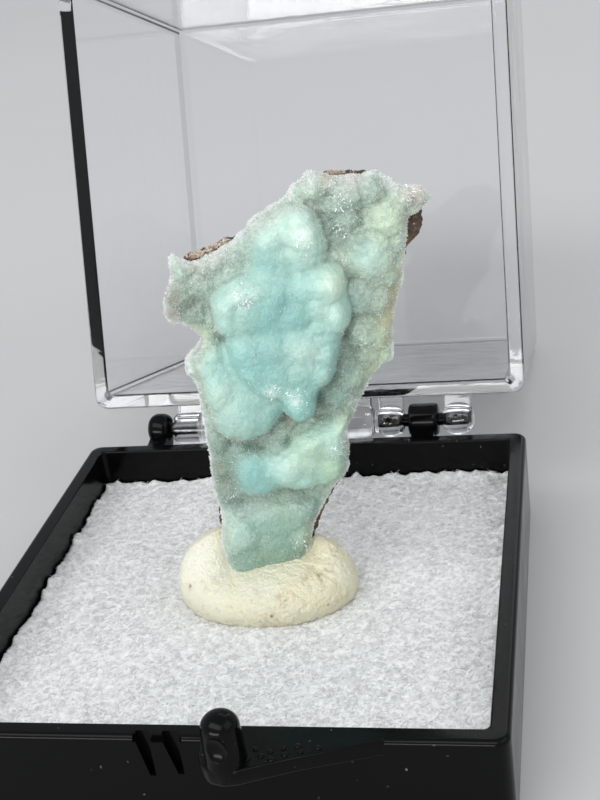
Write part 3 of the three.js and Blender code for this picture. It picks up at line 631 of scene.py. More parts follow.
# Moves a surface along its normals by cloudy noise and by small pointed cells, less where it is less
# coarse, and keeps how high each point lies on its cell
def makeRoughen():
    tree, inlet, outlet = newTree(
        "roughen", "GeometryNodeTree",
        [("Geometry", "Geometry", None), ("Lump Size", "Float", 0.5), ("Lump Height", "Float", 0.05),
         ("Cell Size", "Float", 0.3), ("Cell Height", "Float", 0.03)], [("Geometry", "Geometry")])
    place = addNode(tree, "GeometryNodeInputPosition").outputs[0]
    noise = addNode(tree, "ShaderNodeTexNoise", {
        "Vector": place, "Scale": scaleFor(tree, inlet["Lump Size"]), "Detail": 3.0})
    lumps = minus(tree, socketNamed(noise.outputs, "Fac"), 0.5)
    cells = addNode(tree, "ShaderNodeTexVoronoi", {
        "Vector": place, "Scale": scaleFor(tree, inlet["Cell Size"])})
    points = minus(tree, 0.45, cells.outputs["Distance"])
    rise = plus(tree, times(tree, lumps, inlet["Lump Height"]), times(tree, points, inlet["Cell Height"]))
    coarse = addNode(tree, "GeometryNodeInputNamedAttribute", {"Name": "coarse"}, data_type="FLOAT")
    found = socketNamed(coarse.outputs, "Attribute")
    share = addNode(tree, "GeometryNodeSwitch",
                    {"Switch": coarse.outputs["Exists"], "False": 1.0, "True": found}, input_type="FLOAT")
    length = times(tree, rise, share.outputs[0])
    knob = stretch(tree, cells.outputs["Distance"], 0.12, 0.6, 1.0, 0.0)
    tree.links.new(moveOut(tree, inlet["Geometry"], length, "knob", knob), outlet["Geometry"])
    return tree


def randomValue(tree, kind, low, high, seed):
    values = {"Min": low, "Max": high, "Seed": seed}
    node = addNode(tree, "FunctionNodeRandomValue", values, data_type=kind)
    return socketNamed(node.outputs, "Value")


# Sows small pieces over a surface, as thick as its "grow" attribute says
def makeScatter():
    tree, inlet, outlet = newTree(
        "scatter", "GeometryNodeTree",
        [("Geometry", "Geometry", None), ("Piece", "Object", None), ("Count", "Float", 1.0),
         ("Smallest", "Float", 0.5), ("Largest", "Float", 1.0), ("Lean", "Float", 0.5),
         ("Seed", "Int", 1), ("Material", "Material", None)], [("Geometry", "Geometry")])
    grow = addNode(tree, "GeometryNodeInputNamedAttribute", {"Name": "grow"}, data_type="FLOAT")
    thick = times(tree, inlet["Count"], socketNamed(grow.outputs, "Attribute"))
    sown = addNode(tree, "GeometryNodeDistributePointsOnFaces", {
        "Mesh": inlet["Geometry"], "Density": calculate(tree, "DIVIDE", thick, mm * mm),
        "Seed": inlet["Seed"]})
    anyWay = randomValue(tree, "FLOAT_VECTOR", (-1, -1, -1), (1, 1, 1), inlet["Seed"])
    leaning = vectorMath(tree, "SCALE", anyWay, inlet["Lean"])
    way = vectorMath(tree, "ADD", sown.outputs["Normal"], leaning)
    stand = addNode(tree, "FunctionNodeAlignRotationToVector", {"Vector": way}, axis="Z")
    turn = randomValue(tree, "FLOAT", 0.0, 2 * math.pi, inlet["Seed"])
    spin = addNode(tree, "FunctionNodeAxisAngleToRotation", {"Axis": (0, 0, 1), "Angle": turn})
    turnedWay = addNode(tree, "FunctionNodeRotateRotation", {0: stand.outputs[0], 1: spin.outputs[0]},
                        rotation_space="LOCAL")
    skewed = calculate(tree, "POWER", randomValue(tree, "FLOAT", 0.0, 1.0, 77), 1.6)
    reach = minus(tree, inlet["Largest"], inlet["Smallest"])
    size = plus(tree, times(tree, skewed, reach), inlet["Smallest"])
    part = addNode(tree, "GeometryNodeObjectInfo", {"Object": inlet["Piece"]})
    sized = addNode(tree, "ShaderNodeCombineXYZ", {0: size, 1: size, 2: size})
    placed = addNode(tree, "GeometryNodeInstanceOnPoints", {
        "Points": sown.outputs["Points"], "Instance": part.outputs["Geometry"],
        "Rotation": turnedWay.outputs[0], "Scale": sized.outputs[0]})
    real = addNode(tree, "GeometryNodeRealizeInstances", {"Geometry": placed.outputs[0]})
    dressed = addNode(tree, "GeometryNodeSetMaterial",
                      {"Geometry": real.outputs[0], "Material": inlet["Material"]})
    tree.links.new(dressed.outputs[0], outlet["Geometry"])
    return tree


# Raises the walls between foam cells and lets the cells sink in. Keeps how high each point is, which
# colours the raised walls lighter as painted light
def makeFoamCells():
    tree, inlet, outlet = newTree(
        "foamCells", "GeometryNodeTree",
        [("Geometry", "Geometry", None), ("Cell Size", "Float", 0.6), ("Depth", "Float", 0.3),
         ("Wall", "Float", 0.2)], [("Geometry", "Geometry")])
    place = addNode(tree, "GeometryNodeInputPosition").outputs[0]
    scale = scaleFor(tree, inlet["Cell Size"])
    warp = addNode(tree, "ShaderNodeTexNoise",
                   {"Vector": place, "Scale": times(tree, scale, 0.8), "Detail": 2.0})
    reach = times(tree, inlet["Cell Size"], 1.3 * mm)
    cells = addNode(tree, "ShaderNodeTexVoronoi",
                    {"Vector": bentPlace(tree, place, warp, reach), "Scale": scale},
                    feature="DISTANCE_TO_EDGE")
    wall = stretch(tree, cells.outputs["Distance"], inlet["Wall"], 0.02)
    broad = addNode(tree, "ShaderNodeTexNoise", {"Vector": place, "Scale": 0.4 / mm, "Detail": 2.0})
    level = times(tree, minus(tree, socketNamed(broad.outputs, "Fac"), 0.5), 0.9)
    length = times(tree, plus(tree, minus(tree, wall, 0.8), level), inlet["Depth"])
    tree.links.new(moveOut(tree, inlet["Geometry"], length, "raised", wall), outlet["Geometry"])
    return tree


roughen = makeRoughen()
scatter = makeScatter()
foamCells = makeFoamCells()
print("geometry trees made")

box = {
    "half": 17.0,
    "wall": 1.125,
    "cornerRadius": 0.9,
    "innerCorner": 0.4,
    "edgeRound": 0.35,
    "innerRound": 0.12,
    "rim": 6.8,  # height of the tray's rim
    "floor": 1.2,
}
hinge = {
    "y": box["half"] + 1.8,
    "z": box["rim"] + 0.35,
    "radius": 1.25,
    "pin": 0.5,
    "bore": 0.75,
    "pinReach": 2.0,
    "leftKnuckle": (-12.7, -10.7),
    "barrel": (-10.5, 5.45),
    "innerBall": (5.6, 7.95),
    "rightKnuckle": (8.15, 10.45),
    "outerBall": (10.65, 13.15),
    "neck": 0.9,
    "endPlay": 0.25,
    "boreTurn": 0.05,  # keeps the bore's edges off the knuckle's
}
catch = {
    "notch": (-3.4, -0.6, 0.3, 0.35),  # left, right, depth, drop
    "grooves": [
        {"top": (-3.3, -2.45), "foot": (-2.8, -2.45), "length": 2.7},
        {"top": (-1.75, -0.8), "foot": (-1.15, -0.8), "length": 2.55},
    ],
    "grooveDepth": 0.55,
    "ledge": [
        (10.5, -16.5), (10.5, -17.0), (6.2, -18.3), (4.3, -19.0), (3.1, -19.5), (2.3, -19.65),
        (1.5, -19.45), (0.95, -18.95), (0.7, -18.3), (0.5, -17.0), (0.5, -16.5),
    ],
    "ledgeThickness": 1.0,
    "post": (2.3, -18.5),
    "postRadius": 1.1,
    "postHeight": 3.0,
    "scoop": 0.95,
    "pimples": [
        (3.5, -18.55), (4.15, -18.3), (4.75, -18.55), (4.6, -17.95), (5.4, -18.15), (5.25, -17.7),
        (6.2, -17.9), (6.0, -17.5), (3.75, -17.8), (7.1, -17.6),
    ],
}


# A round-ended knuckle along X: roundness 2 is a ball, and more is a fuller barrel
def knuckle(name, span, roundness, radius):
    half = (span[1] - span[0]) / 2
    steps = 24
    profile = []
    for i in range(steps + 1):
        a = math.pi * (i / steps - 0.5)
        along = math.copysign(abs(math.sin(a)) ** (2 / roundness), math.sin(a))
        profile.append((radius * max(math.cos(a), 0) ** (2 / roundness), half * along))
    piece = turned(name, profile, 40)
    return placeMesh(piece, shiftBy((span[0] + span[1]) / 2, 0, 0) @ alongX)


def rod(name, radius, low, high):
    piece = turned(name, [(0, low), (radius, low), (radius, high), (0, high)], 24)
    return placeMesh(piece, alongX)


# An outline in the (y, z) plane, raised along X
def armPrism(name, outline, low, high):
    piece = prism(name, outline, low, high, 0.08, 2)
    turn = Matrix(((0, 0, 1, 0), (1, 0, 0, 0), (0, 1, 0, 0), (0, 0, 0, 1)))
    return placeMesh(piece, turn)


# A tapered upright wedge at the front wall, from y = far to y = near behind the wall's face
def grooveWedge(name, groove, inset, near, far):
    top, foot, length = groove["top"], groove["foot"], groove["length"]
    outline = [
        (foot[0] + inset, -length + inset), (foot[1] - inset, -length + inset),
        (top[1] - inset, 0.0), (top[0] + inset, 0.0),
    ]
    piece = placeMesh(prism(name, outline, far, near), upright)
    return placeMesh(piece, shiftBy(0, -box["half"], box["rim"]))


def buildTray():
    half, rim, size = box["half"], box["rim"], box["edgeRound"]
    corner, inner = box["cornerRadius"], box["half"] - box["wall"]
    small = box["innerRound"]
    rings = filletRings(half - size, corner - size, size, size, -90, 0)
    rings += filletRings(half - size, corner - size, rim - size, size, 0, 90)
    rings += filletRings(inner + small, box["innerCorner"] + small, rim - small, small, 90, 180)
    rings += [squareRing(inner, box["innerCorner"], box["floor"])]
    tray = loft("tray_shell", rings)
    notchLeft, notchRight, depth, drop = catch["notch"]
    outline = [(notchLeft, -half - 1), (notchRight, -half - 1),
               (notchRight, -half + depth), (notchLeft, -half + depth)]
    combine(tray, prism("notch", outline, rim - drop, rim + 1), "DIFFERENCE")
    for groove in catch["grooves"]:
        wedge = grooveWedge("groove", groove, 0.0, 1.0, -catch["grooveDepth"])
        combine(tray, wedge, "DIFFERENCE")
    shift = shiftBy(0, hinge["y"], hinge["z"])
    for name, roundness in (("leftKnuckle", 2.6), ("rightKnuckle", 8)):
        low, high = hinge[name]
        y, z = hinge["y"], hinge["z"]
        arm = [(half - 0.5, rim - 2.6), (half, rim - 2.6), (y + 0.9, z - 0.85), (y, z),
               (half, rim), (half - 0.5, rim)]
        combine(tray, armPrism("arm", arm, low + 0.3, high - 0.3), "UNION")
        bearing = knuckle("knuckle", hinge[name], roundness, hinge["radius"])
        combine(tray, placeMesh(bearing, shift), "UNION")
    left, right = hinge["leftKnuckle"][1], hinge["rightKnuckle"]
    reach = hinge["pinReach"]
    combine(tray, placeMesh(rod("pin", hinge["pin"], left - 0.4, left + reach), shift), "UNION")
    combine(tray, placeMesh(rod("pin", hinge["pin"], right[0] - reach, right[1] + reach), shift), "UNION")
    editMesh(combine(tray, buildLedge(), "UNION"), weld)
    return give(shadeSmooth(tray), blackPlastic)


# The thumb ledge with the post that stands on it
def buildLedge():
    rim, thick = box["rim"], catch["ledgeThickness"]
    ledge = prism("ledge", catch["ledge"], rim - thick, rim, 0.16, 3)
    radius, height = catch["postRadius"], catch["postHeight"]
    x, y = catch["post"]
    domeStart = height - radius * 0.85
    profile = [(0, -thick + 0.1), (radius * 0.98, -thick + 0.1), (radius * 1.04, 0.0), (radius, 0.25),
               (radius, domeStart * 0.6), (radius * 0.965, domeStart)]
    steps = 10
    for i in range(1, steps):
        a = math.pi / 2 * i / steps
        profile.append((radius * 0.965 * math.cos(a), domeStart + (height - domeStart) * math.sin(a)))
    profile.append((0, height))
    combine(ledge, placeMesh(turned("post", profile, 48), shiftBy(x, y, rim)), "UNION")

    def addBall(edit):
        bmesh.ops.create_uvsphere(edit, u_segments=32, v_segments=20, radius=catch["scoop"] * mm)

    scoop = editMesh(meshObject("scoop", [], []), addBall)
    place = shiftBy(x - 0.1, y - radius - 0.6, rim + height * 0.48)
    placeMesh(scoop, place @ Matrix.Diagonal((1, 1, 1.2, 1)))
    return combine(ledge, scoop, "DIFFERENCE")


# The small moulding marks on the ledge, as low round caps
def buildPimples():
    points, faces = [], []
    for k, (x, y) in enumerate(catch["pimples"]):
        radius = 0.15 + 0.08 * ((k * 7) % 5) / 4
        first = len(points)
        sides, levels = 10, 3
        for j in range(levels):
            a = math.pi / 2 * j / levels
            for i in range(sides):
                b = 2 * math.pi * i / sides
                out = radius * math.cos(a)
                points.append((x + out * math.cos(b), y + out * math.sin(b),
                               box["rim"] - 0.03 + 0.16 * math.sin(a)))
        points.append((x, y, box["rim"] + 0.13))
        top = len(points) - 1
        for j in range(levels - 1):
            faces += band(first + j * sides, first + (j + 1) * sides, sides)
        last = first + (levels - 1) * sides
        faces += [(last + i, last + (i + 1) % sides, top) for i in range(sides)]
        faces.append(tuple(first + i for i in reversed(range(sides))))
    marks = meshObject("ledge_marks", points, faces)
    marks.data.shade_smooth()
    return give(marks, blackPlastic)


tray = buildTray()
ledgeMarks = buildPimples()
print("tray built")

lid = {
    "height": 29.55,
    "top": 1.2,
    "edgeRound": 0.6,
    "rimGap": 0.2,
    "rimRound": 0.15,
    "prongPlay": 0.14,  # at the sides of the grooves
    "prongShort": 0.17,  # and at their bottom
    "stemPlay": 0.15,
    "stem": (0.03, 0.37),  # from the front wall's face inwards
}


# Modelled closed and about the hinge axis, then turned open until it stands on its back edge
def buildLid():
    half, corner = box["half"], box["cornerRadius"]
    inner, size, small = half - box["wall"], lid["edgeRound"], lid["rimRound"]
    setback = hinge["y"] - half
    low = lid["rimGap"] - (hinge["z"] - box["rim"])
    high = low + lid["height"]
    rings = filletRings(half - size, corner - size, high - size, size, 90, 0, 6)
    rings += filletRings(half - small, corner - small, low + small, small, 0, -90, 3)
    rings += filletRings(inner + small, box["innerCorner"] + small, low + small, small, -90, -180, 3)
    rings += filletRings(inner - 0.3, 0.15, high - lid["top"] - 0.3, 0.3, 0, 90, 4)
    shell = loft("lid_shell", rings)
    placeMesh(shell, shiftBy(0, -hinge["y"], 0))
    for name, roundness, thickness in (("barrel", 14, 0.9), ("innerBall", 2.3, 0.8),
                                       ("outerBall", 2.3, 0.8)):
        span = hinge[name]
        web = [(-setback - 0.55, 0.04), (0, 0), (0, thickness), (-setback - 0.55, thickness + 0.6)]
        combine(shell, armPrism("web", web, span[0] + 0.25, span[1] - 0.25), "UNION")
        combine(shell, knuckle(name, span, roundness, hinge["radius"]), "UNION")
    neck = rod("neck", hinge["neck"], hinge["barrel"][1] - 0.3, hinge["innerBall"][0] + 0.4)
    combine(shell, neck, "UNION")
    for groove in catch["grooves"]:
        far = lid["prongShort"] - catch["grooveDepth"]
        wedge = grooveWedge("prong", groove, lid["prongPlay"], -0.02, far)
        left, right = groove["top"][0] + lid["stemPlay"], groove["top"][1] - lid["stemPlay"]
        front, back = (lid["stem"][k] - half for k in (0, 1))
        outline = [(left, front), (right, front), (right, back), (left, back)]
        stem = prism("stem", outline, box["rim"] - 0.1, box["rim"] + lid["rimGap"] + 0.3)
        combine(wedge, stem, "UNION")
        placeMesh(wedge, shiftBy(0, -hinge["y"], -hinge["z"]))
        combine(shell, wedge, "UNION")
    reach, play = hinge["pinReach"], hinge["endPlay"]
    turn = Matrix.Rotation(hinge["boreTurn"], 4, "X")
    left, right = hinge["leftKnuckle"][1], hinge["rightKnuckle"]
    for span in ((hinge["barrel"][0] - 1, left + reach + play),
                 (right[0] - reach - play, hinge["innerBall"][1] + 1),
                 (hinge["outerBall"][0] - 1, right[1] + reach + play)):
        bore = placeMesh(rod("bore", hinge["bore"], *span), turn)
        combine(shell, bore, "DIFFERENCE")
    # the rounded edge between the back wall and the top comes to rest on the ground
    edgeReach = setback + size
    edgeRise = high - size
    opened = math.atan2(edgeReach, edgeRise)
    opened += math.acos((size - hinge["z"]) / math.hypot(edgeReach, edgeRise))
    shift = shiftBy(0, hinge["y"], hinge["z"])
    placeMesh(shell, shift @ Matrix.Rotation(-opened, 4, "X"))
    return give(shadeSmooth(editMesh(shell, weld)), clearPlastic)


lidShell = buildLid()
print("lid built")

foam = {
    "half": 15.78,
    "low": 1.5,
    "top": 4.0,
    "pitch": 0.104,
    "cellSize": 0.5,
    "cellDepth": 0.06,
    "strandsPerSquare": 5.4,
    "strandPieces": 2,
    "strand": (0.3, 0.85),
}


def buildFoam():
    half, low, top = foam["half"], foam["low"], foam["top"] - 0.02
    count = int(2 * half / foam["pitch"])
    axis = np.linspace(-half, half, count + 1)
    x, y = np.meshgrid(axis, axis, indexing="ij")
    edge = half - np.maximum(np.abs(x), np.abs(y))
    # the pad curls up a little, and unevenly, where it is pressed against the walls
    tufts = 0.6 * softNoise(x, y, 1.9, 5) ** 2 + 0.5 * softNoise(x, y, 0.6, 6) ** 2
    curl = np.exp(-edge / 0.6) * (0.1 + tufts)
    z = top - 0.25 * np.exp(-edge / 0.12) + curl + 0.22 * (softNoise(x, y, 5.5, 8) - 0.5)
    points = list(zip(x.ravel(), y.ravel(), z.ravel()))
    stride = count + 1
    faces = [(i * stride + j, (i + 1) * stride + j, (i + 1) * stride + j + 1, i * stride + j + 1)
             for i in range(count) for j in range(count)]
    rim = [i * stride for i in range(count)]
    rim += [count * stride + j for j in range(count)]
    rim += [i * stride + count for i in range(count, 0, -1)]
    rim += list(range(count, 0, -1))
    above = rim
    for depth in (0.35, 0.75, 1.3, top - low):
        first = len(points)
        for k in rim:
            px, py, pz = points[k]
            tuck = 0.985 if depth < top - low else 0.975
            points.append((px * tuck, py * tuck, low if depth == top - low else pz - depth))
        below = list(range(first, len(points)))
        for k in range(len(rim)):
            following = (k + 1) % len(rim)
            faces.append((above[k], below[k], below[following], above[following]))
        above = below
    faces.append(tuple(reversed(above)))
    pad = meshObject("foam_surface", points, faces)
    faceOutwards(pad)
    pad.data.shade_smooth()
    runTree(pad, foamCells, {"Cell Size": foam["cellSize"], "Depth": foam["cellDepth"], "Wall": 0.2})
    return give(pad, whiteFoam)


# Writes one number for each point of the piece
def setAttribute(piece, name, values):
    attribute = piece.data.attributes.get(name) or piece.data.attributes.new(name, "FLOAT", "POINT")
    attribute.data.foreach_set("value", np.asarray(values, dtype=np.float32))


def readAttribute(piece, name):
    values = np.empty(len(piece.data.vertices), np.float32)
    piece.data.attributes[name].data.foreach_get("value", values)
    return values


def vectorsOf(items, name):
    flat = np.empty(len(items) * 3)
    items.foreach_get(name, flat)
    return flat.reshape(-1, 3)


def pointsOf(piece):
    return vectorsOf(piece.data.vertices, "co") / mm


def normalsOf(piece):
    return vectorsOf(piece.data.vertex_normals, "vector")


# One bent foam strand lying along X, about a millimetre long, bowed up in the middle
def strandPiece():
    steps, sides, radius = 4, 3, 0.03
    rings = []
    for k in range(steps + 1):
        t = k / steps - 0.5
        thin = radius * (1.0 - 1.6 * t * t)
        turns = [2 * math.pi * i / sides for i in range(sides)]
        rings.append([(t + 0.25 * t * t, 0.9 * t * t + thin * math.cos(a),
                       0.035 - 0.2 * t * t + thin * math.sin(a)) for a in turns])
    strand = loft("strand", rings)
    strand.data.shade_smooth()
    return strand


def buildStrands(pad):
    normals = normalsOf(pad)
    points = pointsOf(pad)
    uneven = softNoise(points[:, 0], points[:, 1], 1.6, 21)
    setAttribute(pad, "grow", (normals[:, 2] > 0.2) * (0.35 + 0.65 * uneven))
    strand = strandPiece()
    strands = []
    for k in range(foam["strandPieces"]):
        strands.append(runTree(pad, scatter, {
            "Piece": strand, "Count": foam["strandsPerSquare"], "Smallest": foam["strand"][0],
            "Largest": foam["strand"][1], "Lean": 0.25, "Seed": 3 + k, "Material": foamStrand},
            f"foam_strands_{k + 1}"))
    bpy.data.objects.remove(strand)
    return strands


foamPad = buildFoam()
foamStrands = buildStrands(foamPad)
print("foam built", len(foamPad.data.polygons), [len(piece.data.polygons) for piece in foamStrands])

# The specimen's plane: across to the right, up from the tray's rim, and out towards the front.
specimen = {
    "yaw": math.radians(13.8),
    "place": (0.28, 1.0),
    "plate": 0.9,  # thickness of the crust between its lobes
    "rim": 0.5,  # thickness at its broken edge
    "rimWidth": 0.8,
    "pitch": 0.085,
    "voxel": 0.095,
    "matrixFront": -0.04,
    "matrixThickness": 1.7,
    "matrixRim": 0.9,
    "matrixRimWidth": 1.2,
    "matrixPitch": 0.16,
    "matrixVoxel": 0.15,
}

# The broken edge of the crust, clockwise from the left tip.
crustEdge = [
    (-3.4, 18.0), (-3.1, 19.0), (-2.6, 20.1), (-2.55, 21.1), (-2.3, 21.5), (-1.9, 21.1), (-1.2, 20.75),
    (0.0, 21.1), (0.95, 21.5), (1.65, 22.0), (2.25, 22.3), (2.45, 22.75), (3.2, 23.1), (3.9, 23.5),
    (4.8, 23.9), (5.15, 24.45), (5.8, 24.8), (6.2, 25.15), (6.9, 25.0), (7.6, 24.65), (9.2, 24.55),
    (10.0, 24.6), (10.9, 24.0), (11.5, 23.5), (12.3, 23.45), (12.75, 23.1), (13.1, 22.5), (12.4, 21.9),
    (11.7, 21.45), (11.5, 20.6), (11.3, 19.7), (11.1, 18.7), (10.95, 17.7), (10.6, 17.0), (10.4, 16.3),
    (10.15, 15.4), (9.95, 14.4), (10.0, 13.7), (9.8, 12.75), (9.2, 12.55), (8.4, 11.7), (7.9, 10.85),
    (7.4, 10.2), (7.05, 9.4), (6.6, 8.6), (6.45, 7.9), (6.55, 7.1), (6.35, 6.4), (6.4, 5.8), (5.8, 5.0),
    (5.1, 4.4), (4.3, 3.1), (3.75, 2.2), (3.4, 1.3), (3.2, 0.3), (2.8, -0.6), (1.5, -1.2), (-0.8, -1.3),
    (-2.1, -0.9), (-2.4, 0.2), (-2.5, 1.6), (-2.3, 2.8), (-2.2, 3.8), (-2.3, 4.7), (-2.42, 5.6),
    (-2.35, 7.2), (-2.25, 8.7), (-2.3, 10.2), (-2.24, 11.5), (-2.3, 13.1), (-2.75, 13.9), (-2.6, 14.8),
    (-2.0, 15.3), (-1.5, 15.9), (-1.6, 16.3), (-2.1, 16.75), (-2.65, 17.15), (-3.15, 17.15),
]

matrixEdge = [
    (-2.4, 18.3), (-2.1, 20.2), (-1.6, 20.85), (0.0, 21.2), (0.9, 21.55), (1.7, 21.6), (3.4, 22.3),
    (5.2, 23.5), (6.6, 24.35), (7.3, 24.65), (8.4, 24.5), (9.7, 24.3), (11.0, 23.3), (12.2, 22.4),
    (12.6, 21.6), (12.6, 20.9), (12.35, 20.4), (11.75, 19.8), (11.15, 19.0), (10.5, 17.1), (9.9, 15.5),
    (9.5, 13.1), (8.5, 12.1), (7.0, 9.9), (6.1, 8.1), (6.0, 6.1), (5.9, 4.9), (5.32, 4.1), (4.62, 3.1),
    (4.02, 2.0), (3.5, 0.7), (2.8, -0.6), (1.4, -1.1), (-0.8, -1.2), (-2.0, -0.8), (-2.2, 1.6),
    (-2.42, 2.9), (-2.32, 3.6), (-2.2, 5.5), (-2.0, 9.1), (-2.0, 12.8), (-2.2, 14.0), (-1.2, 15.4),
    (-1.2, 16.5), (-2.3, 17.4),
]

# The raised masses: outline, height above the crust's back, and the width of the round edge.
massFoot = 0.45  # the height at which the round edges start
masses = [
    {"name": "main", "top": 2.55, "edge": 1.0, "line": [
        (2.75, 20.0), (2.05, 19.95), (1.3, 19.85), (0.7, 19.65), (0.15, 19.45), (-0.35, 19.0),
        (-0.55, 18.5), (-0.6, 17.8), (-0.55, 17.0), (-0.4, 16.5), (-0.1, 16.2), (-0.1, 15.5),
        (-0.1, 14.85), (0.05, 14.25), (0.3, 13.5), (0.8, 12.75), (1.35, 12.1), (1.9, 11.8),
        (2.55, 11.6), (2.8, 11.05), (3.1, 10.5), (3.7, 10.35), (4.25, 10.6), (4.7, 11.1), (5.0, 11.5),
        (5.3, 11.95), (5.85, 12.3), (6.3, 12.85), (6.5, 13.6), (6.75, 14.4), (7.0, 15.1), (7.25, 15.45),
        (7.6, 16.05), (7.7, 16.85), (7.6, 17.75), (7.6, 18.6), (7.5, 19.3), (7.15, 19.75), (6.55, 20.0),
        (6.0, 19.95), (5.25, 20.0), (4.35, 19.95), (3.5, 19.95)]},
    {"name": "drip", "top": 2.6, "edge": 0.6, "line": [
        (2.8, 12.3), (2.65, 11.5), (2.7, 10.95), (3.05, 10.45), (3.6, 10.15), (4.2, 10.2), (4.7, 10.6),
        (4.95, 11.3), (4.8, 12.3), (3.8, 12.8)]},
    {"name": "crown", "top": 1.95, "edge": 1.0, "line": [
        (2.25, 20.6), (2.25, 21.3), (2.25, 22.05), (2.95, 22.7), (3.55, 23.05), (4.2, 23.45), (4.9, 23.6),
        (5.6, 23.55), (6.1, 23.15), (6.5, 22.55), (6.75, 21.65), (6.8, 20.9), (6.65, 20.2), (6.1, 19.7),
        (4.85, 18.9), (3.1, 19.0), (2.4, 19.75)]},
    {"name": "crownCore", "top": 2.2, "edge": 0.8, "line": [
        (4.45, 23.4), (5.35, 23.55), (6.1, 23.15), (6.55, 22.2), (6.7, 21.25), (6.6, 20.5), (5.7, 20.15),
        (4.85, 20.55), (4.25, 21.35), (4.15, 22.5)]},
    {"name": "cheek", "top": 1.75, "edge": 1.0, "line": [
        (-1.85, 15.6), (-1.2, 16.1), (-0.35, 16.0), (0.7, 15.4), (1.4, 14.4), (2.0, 13.4), (2.9, 12.6),
        (3.5, 11.8), (3.3, 11.0), (2.65, 10.4), (2.15, 9.8), (1.45, 9.2), (0.7, 8.85), (0.1, 8.8),
        (-0.7, 9.0), (-1.3, 9.55), (-1.75, 10.65), (-1.9, 11.7), (-1.9, 12.7), (-2.05, 13.75),
        (-2.3, 14.6)]},
    {"name": "arm", "top": 2.1, "edge": 0.85, "line": [
        (1.2, 6.95), (1.45, 7.6), (2.05, 8.1), (2.7, 8.35), (3.1, 8.9), (3.55, 9.25), (4.2, 9.45),
        (4.85, 9.75), (5.65, 9.95), (6.45, 10.0), (6.85, 9.8), (6.65, 9.15), (6.4, 8.4), (6.45, 7.5),
        (6.3, 6.55), (5.9, 5.75), (5.25, 5.25), (4.4, 5.15), (3.35, 5.2), (2.4, 5.25), (1.7, 5.6),
        (1.25, 6.15)]},
    {"name": "hollow", "top": 1.6, "edge": 1.1, "line": [
        (-1.05, 5.3), (-1.2, 6.4), (-1.05, 7.6), (-0.5, 8.35), (0.4, 8.5), (1.5, 8.3), (2.4, 7.8),
        (2.7, 6.6), (2.4, 5.5), (1.4, 4.95), (0.4, 4.9), (-0.5, 4.95)]},
    {"name": "foot", "top": 1.2, "edge": 0.9, "line": [
        (-1.9, 3.65), (-0.95, 4.05), (0.5, 4.35), (1.7, 4.5), (2.95, 4.3), (4.05, 4.1), (3.75, 2.65),
        (3.2, 0.85), (2.35, -0.8), (-0.35, -1.0), (-2.2, -0.8), (-2.3, 1.8)]},
]

# Where one of them runs into the next without a crease: across, up, radius, strength.
gentle = [
    (2.8, 20.2, 1.2, 1.0), (4.2, 20.1, 1.2, 1.0), (5.4, 20.0, 1.0, 0.9), (0.1, 14.0, 0.7, 0.7),
    (0.5, 12.9, 0.9, 0.9), (1.4, 11.8, 0.9, 1.0), (2.5, 11.3, 0.8, 0.9), (3.8, 12.2, 0.9, 1.0),
    (1.6, 6.9, 0.8, 1.0), (2.0, 5.6, 0.6, 0.7), (4.3, 21.9, 0.9, 0.7), (-0.2, 4.6, 0.8, 0.6),
    (0.8, 16.4, 0.8, 0.8), (2.2, 16.4, 0.9, 0.8), (3.6, 16.4, 0.8, 0.7), (1.0, 14.6, 0.7, 0.9),
    (2.0, 14.5, 0.8, 0.9), (3.4, 14.5, 0.8, 0.7), (4.9, 14.2, 0.6, 0.6), (2.2, 20.9, 0.8, 0.8),
]

# The sharper valleys between them: a line of places, its width and depth.
furrows = [
    {"width": 0.14, "depth": 0.17, "line": [
        (5.1, 19.75), (5.75, 19.95), (6.35, 20.1), (6.95, 20.1), (7.4, 19.75)]},
    {"width": 0.3, "depth": 0.12, "line": [(4.4, 22.2), (4.3, 21.4), (4.4, 20.6), (4.45, 19.6)]},
    {"width": 0.45, "depth": 0.1, "line": [
        (4.45, 19.6), (4.4, 18.9), (4.15, 18.1), (3.5, 17.4), (2.8, 17.0)]},
    {"width": 0.17, "depth": 0.12, "line": [(6.0, 17.75), (6.8, 17.75), (7.7, 17.55)]},
    {"width": 0.18, "depth": 0.1, "line": [(5.4, 15.95), (6.3, 15.85), (7.1, 15.65)]},
    {"width": 0.17, "depth": 0.08, "line": [(5.0, 14.35), (5.8, 14.0), (6.45, 13.45)]},
    {"width": 0.17, "depth": 0.15, "line": [(2.6, 12.2), (2.7, 11.7), (2.6, 11.1)]},
    {"width": 0.15, "depth": 0.15, "line": [(5.2, 12.3), (5.0, 11.7)]},
    {"width": 0.25, "depth": 0.12, "line": [(0.3, 18.9), (0.95, 18.35), (1.3, 18.5)]},
    {"width": 0.35, "depth": 0.06, "line": [(0.2, 16.4), (1.2, 16.5), (2.2, 16.3)]},
]

